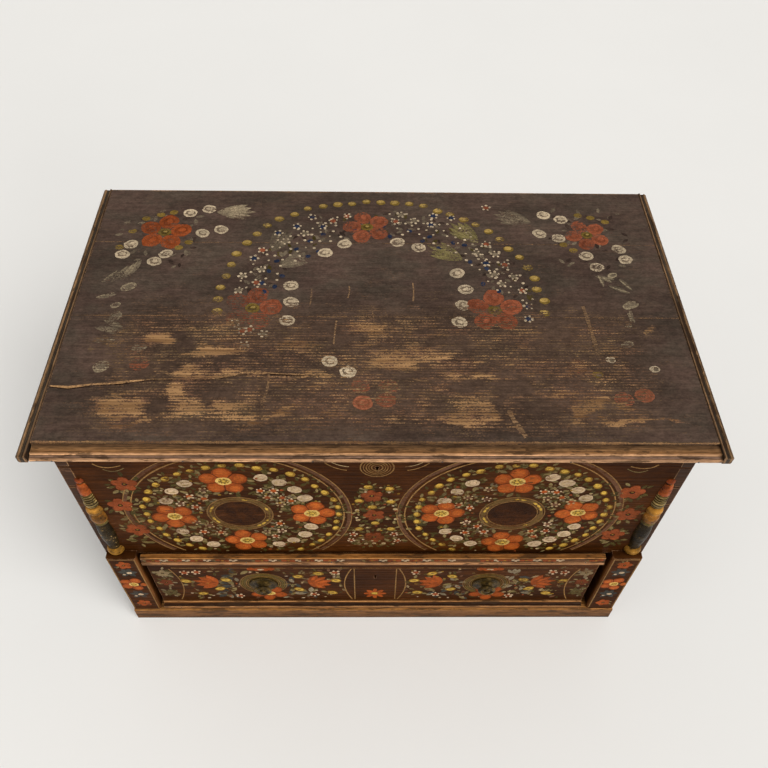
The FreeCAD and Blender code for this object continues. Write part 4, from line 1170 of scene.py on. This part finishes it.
# Sprays in the back corners. Leaves: foot, length and direction in degrees. Blobs: place and half sizes.
sprays = [
    {
        "rose": (-443, 558, 54, vermilion, (1.0, 0.95, 1.0, 0.9, 1.0), 0.2),
        "berries": [
            (-399, 620), (-360, 634), (-364, 556), (-327, 568), (-506, 520), (-518, 490), (-450, 470),
            (-430, 492),
        ],
        "dots": [(-510, 561), (-489, 601), (-460, 614), (-434, 622), (-407, 511), (-389, 528), (-528, 511)],
        "leaves": [
            (-543, 408, 46, 47), (-524, 410, 58, 56), (-508, 416, 56, 62), (-496, 424, 54, 68),
            (-545, 366, 40, 15), (-470, 276, 62, 168), (-474, 286, 54, 150), (-478, 262, 50, 190),
            (-512, 300, 40, 60),
        ],
        "blobs": [
            (-488, 397, 16, 11), (-503, 347, 10, 7), (-496, 320, 11, 11), (-437, 240, 15, 11),
            (-498, 194, 16, 13),
        ],
    },
    {
        "rose": (443, 558, 46, faded_red, (0.95, 0.55, 0.55, 0.6, 0.9), 0.75),
        "berries": [
            (395, 608), (359, 622), (381, 548), (343, 562), (502, 515), (510, 484), (447, 461), (431, 494),
        ],
        "dots": [(489, 601), (460, 614), (434, 622), (407, 511), (389, 528)],
        "leaves": [
            (476, 424, 40, 165), (470, 416, 34, 140), (451, 404, 34, 95), (500, 386, 46, 150),
            (506, 394, 40, 120), (486, 308, 34, 80), (494, 306, 30, 110),
        ],
        "blobs": [
            (474, 437, 11, 7), (497, 356, 14, 10), (486, 350, 8, 8), (479, 300, 8, 6), (468, 252, 13, 9),
        ],
    },
]
# Loose petals: place and share of paint left
lid_petals = [
    (-26, 114, 1.5), (15, 120, 0.95), (20, 151, 0.66), (-30, 151, 0.86), (474, 132, 1.05), (436, 124, 0.7),
    (-430, 201, 0.3), (365, 197, 0.4),
]
lid_dots = [(429, 215, faded_white), (506, 193, faded_white), (399, 180, khaki)]
# Scratches: three places and width
lid_scratches = [
    ((-77, 310), (-80, 285), (-81, 250), 3.0), ((-11, 350), (-5, 300), (-1, 250), 2.7),
    ((-195, 178), (-192, 140), (-203, 109), 4.8), ((62, 170), (74, 162), (92, 164), 3.0),
    ((-129, 394), (-127, 372), (-130, 352), 3.0), ((-55, 402), (-53, 386), (-57, 370), 3.0),
    ((71, 412), (73, 386), (70, 362), 3.0), ((400, 350), (406, 290), (408, 226), 7.5),
    ((229, 99), (236, 70), (253, 42), 9.0),
]
# Long crack, bare wood with a painted shadow line along its front side: place and width
lid_crack = [
    (-578, 149, 3.0), (-545, 146, 6.0), (-500, 153, 4.0), (-456, 157, 6.0), (-400, 165, 2.0),
    (-292, 167, 3.5), (-240, 180, 5.5), (-215, 181, 3.0), (-150, 177, 3.0), (-75, 175, 2.0),
]


def paint_arch_dots(canvas):
    """Yellow dots along the arch, which is squarer on its left."""
    draw = canvas.draw
    for index in range(arch_dot_count):
        angle = pi * index / (arch_dot_count - 1)
        cosine, sine = cos(angle), sin(angle)
        power = arch_left_squareness if cosine < 0 else arch_right_squareness
        reach = (abs(cosine) ** power + sine ** power) ** (-1 / power)
        u = arch_centre[0] + (arch_radius_across * reach + draw.uniform(-4, 4)) * cosine
        v = arch_centre[1] + (arch_radius_deep * reach + draw.uniform(-4, 4)) * sine
        cover = draw.uniform(0.6, 1.0)
        canvas.yolk(u, v, draw.uniform(9, 11), faded(faded_yellow, cover), faded(khaki, cover))


def paint_arch(canvas):
    """Half wreath on the lid, open to the front."""
    draw = canvas.draw
    paint_arch_dots(canvas)
    for u, v, radius, turn, covers in arch_roses:
        canvas.rose(u, v, radius, faded_red, covers, turn)
    for spot in arch_berries:
        canvas.disc(*spot, arch_berry_radius, faded_white, berry_shade, 0.5 if spot[1] < 250 else 0.0)
    for spot in arch_flowers:
        heart = draw.choice((faded_red, lid_grey, deep_blue))
        canvas.dot_flower(*spot, 8.0, heart, faded(faded_white, draw.uniform(0.7, 1.0)))
    for u, v, length, turn, colour in tulips:
        canvas.fan(u, v, length, turn, faded(colour, 0.66), 5, 0.70, 0.19)
        canvas.fan(u, v, length * 0.94, turn + 0.06, faded(lid_smear, 0.50), 4, 0.62, 0.05)
    roses = [rose[:2] for rose in arch_roses]
    band = round_place(arch_centre, 224, 298, 6, 174)
    for spot in scattered(draw, 700, band, roses, 15):
        if not close_to(spot, roses, 56):
            size = draw.uniform(2.0, 3.6)
            canvas.dab(*spot, size, size * 0.85, faded_white, 3, sides=8)
    for spot in scattered(draw, 60, round_place(arch_centre, 212, 262, 12, 168), roses, 20):
        canvas.dab(*spot, 6.0, 4.6, deep_blue, 2, draw.uniform(0, 3))
    leaves = (faded(leaf_green, 0.8), faded(lid_grey, 0.6), toned(lid_paint_and_sheen, 0.6))
    canvas.foliage(scattered(draw, 160, band, [], 20), 2, 0, 6, 16.0, leaves)


def paint_spray(canvas, rose, berries, dots, leaves, blobs):
    """Loose spray in a back corner of the lid, with faint leaves and flowers toward the front."""
    draw = canvas.draw
    canvas.rose(*rose)
    at_each(canvas.disc, berries, spray_berry_radius, faded_white, berry_shade)
    at_each(canvas.dab, dots, 9, 7, faded(khaki, 0.8), 2)
    for u, v, length, direction in leaves:
        turn = radians(direction)
        canvas.leaf(u, v, length, length * 0.26, turn, faded(lid_grey, 0.62), 2)
        canvas.leaf(u, v + 2, length * 0.9, length * 0.10, turn + 0.1, faded(lid_smear, 0.50), 3)
    for u, v, half_width, half_depth in blobs:
        canvas.dab(u, v, half_width, half_depth, faded(lid_smear, 0.58), 2, draw.uniform(0, 0.8))
        canvas.dab(u + 2, v + 1, half_width * 0.6, half_depth * 0.5, faded(lid_grey, 0.66), 3, 0.4)
    side = copysign(1, rose[0])
    spots = scattered(draw, 30, box_place(side * 375, side * 525, 465, 640), [], 22)
    shades = (toned(lid_paint_and_sheen, 0.7), toned(lid_paint_and_sheen, 0.85), faded(lid_grey, 0.6))
    canvas.foliage(spots, 3, 2, 12, 17.0, shades)


def paint_lid():
    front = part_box("lid_front_moulding")[0][1]
    low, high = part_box("lid_board_front")
    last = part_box("lid_board_back")[1]
    behind_limits = ((low[1] - front) / MM + paint_margin, (last[1] - front) / MM - paint_margin)
    canvas = Canvas("paint_lid", lid_face(front, high[2]), 51, face_limits(low, high, 0), behind_limits)
    paint_arch(canvas)
    for spray in sprays:
        paint_spray(canvas, **spray)
    for u, v, cover in lid_petals:
        canvas.dab(u, v, 18, 16, faded(rubbed_red, cover), 2)
        canvas.dab(u, v, 13, 11, faded(toned(rubbed_red, 0.78), cover), 3)
        canvas.dab(u + 2, v + 1, 8, 6, faded(rubbed_red, cover), 4)
    for u, v, colour in lid_dots:
        canvas.dab(u, v, 10, 8, faded(colour, 0.9), 2)
        canvas.dab(u + 2, v - 1, 5, 4, faded(lid_grey, 0.9), 3)
    for scratch in lid_scratches:
        canvas.curve(*scratch, faded(scratched_paint, 0.8), 3)
    canvas.strip(lid_crack, pine_light, 5)
    # Painted shadow: dark line along the crack's front side
    canvas.strip([(u, v - width / 2 - 0.6, 1.6) for u, v, width in lid_crack], dark_paint_and_crack_shadow, 6)
    canvas.build(lid_flower_material(), "lid")


def dress_nodes():
    """Gives each CAD piece its material."""
    lid_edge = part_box("lid_front_moulding")[0][1]
    cleat_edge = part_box("lid_cleat_left")[0][0]
    ledge_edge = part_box("drawer_top_moulding")[0][2]
    foot_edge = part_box("drawer_bottom_moulding")[0][2]
    pine_y = bare_pine_material("bare_pine_y", "Y")
    post = post_material()
    cleat = trim_material("cleat", "Y", "X", cleat_edge, cleat_bands)
    by_slot = {
        "painted_lid": lid_material(),
        "painted_sides": side_material(),
        "turned_column": column_material(),
        "bare_pine": bare_pine_material("bare_pine_x", "X"),
        "knob_wood": knob_material(),
        "wrought_iron": iron_material(),
    }
    own = {
        "lid_front_moulding": trim_material("lid_moulding", "X", "Y", lid_edge, lid_moulding_bands),
        "lid_cleat_left": cleat,
        "lid_cleat_right": cleat,
        "drawer_top_moulding": trim_material("drawer_ledge", "X", "Z", ledge_edge, drawer_ledge_bands),
        "drawer_bottom_moulding": trim_material("drawer_foot", "X", "Z", foot_edge, drawer_foot_bands),
        "plinth_rail": trim_material("plinth", "X", "Z", 0.0, plinth_bands),
        "front_board": front_material("front_board"),
        "drawer_front": front_material("drawer_front"),
        "post_left": post,
        "post_right": post,
    }
    for name in ("runner", "guide", "drawer_side", "lid_batten"):
        for side in ("_left", "_right"):
            own[name + side] = pine_y
    slots = {part["node"]: part["material_slot"] for part in frame["record"]["subparts"]}
    for name, piece in frame["nodes"].items():
        piece.data.materials.clear()
        piece.data.materials.append(own[name] if name in own else by_slot[slots[name]])


# Stage

def build_floor():
    mesh = bpy.data.meshes.new("floor")
    corners = [(floor_half * u, floor_half * v, 0) for u, v in ((-1, -1), (1, -1), (1, 1), (-1, 1))]
    mesh.from_pydata(corners, [], [(0, 1, 2, 3)])
    floor = bpy.data.objects.new("floor", mesh)
    bpy.context.scene.collection.objects.link(floor)
    tree = Tree("floor")
    cloud = tree.noise(1.5, 3)
    mesh.materials.append(tree.finish(tree.tint(floor_colour, (cloud, 0.98, 1.02)), 0.8, cloud, 0.0))


def add_light(name, kind, power, direction, **settings):
    """Light that comes from a direction."""
    data = bpy.data.lights.new(name, kind)
    data.energy = power
    for key, value in settings.items():
        setattr(data, key, value)
    light = bpy.data.objects.new(name, data)
    light.rotation_euler = direction.to_track_quat("Z", "Y").to_euler()
    bpy.context.scene.collection.objects.link(light)
    return light


def light_stage():
    world = bpy.data.worlds.new("studio")
    world.use_nodes = True
    background = world.node_tree.nodes["Background"]
    background.inputs["Color"].default_value = sky_colour
    background.inputs["Strength"].default_value = sky_strength
    bpy.context.scene.world = world
    direction = Vector(lamp_place) - Vector(lamp_target)
    lamp = add_light("left_soft_box", "AREA", lamp_power, direction, shape="DISK", size=lamp_size)
    lamp.location = lamp_place
    for name, (toward, strength) in wide_lights.items():
        add_light(name, "SUN", strength, Vector(toward), angle=radians(wide_light_degrees))


def aim_camera():
    data = bpy.data.cameras.new("camera")
    data.sensor_width = sensor_width
    data.lens = focal_pixels / picture_pixels * sensor_width
    camera = bpy.data.objects.new("camera", data)
    pose = Matrix.Translation(Vector(camera_place) * MM)
    for degrees, axis in ((camera_yaw, "Z"), (90 - camera_pitch, "X"), (camera_roll, "Z")):
        pose = pose @ Matrix.Rotation(radians(degrees), 4, axis)
    camera.matrix_world = pose
    bpy.context.scene.collection.objects.link(camera)
    bpy.context.scene.camera = camera


bpy.context.scene.view_settings.view_transform = "Standard"
dress_nodes()
flowers_front = front_flower_material()
paint_chest_front(flowers_front)
paint_posts(flowers_front)
paint_drawer(flowers_front)
paint_drawer_moulding(flowers_front)
paint_lid()
build_floor()
light_stage()
aim_camera()
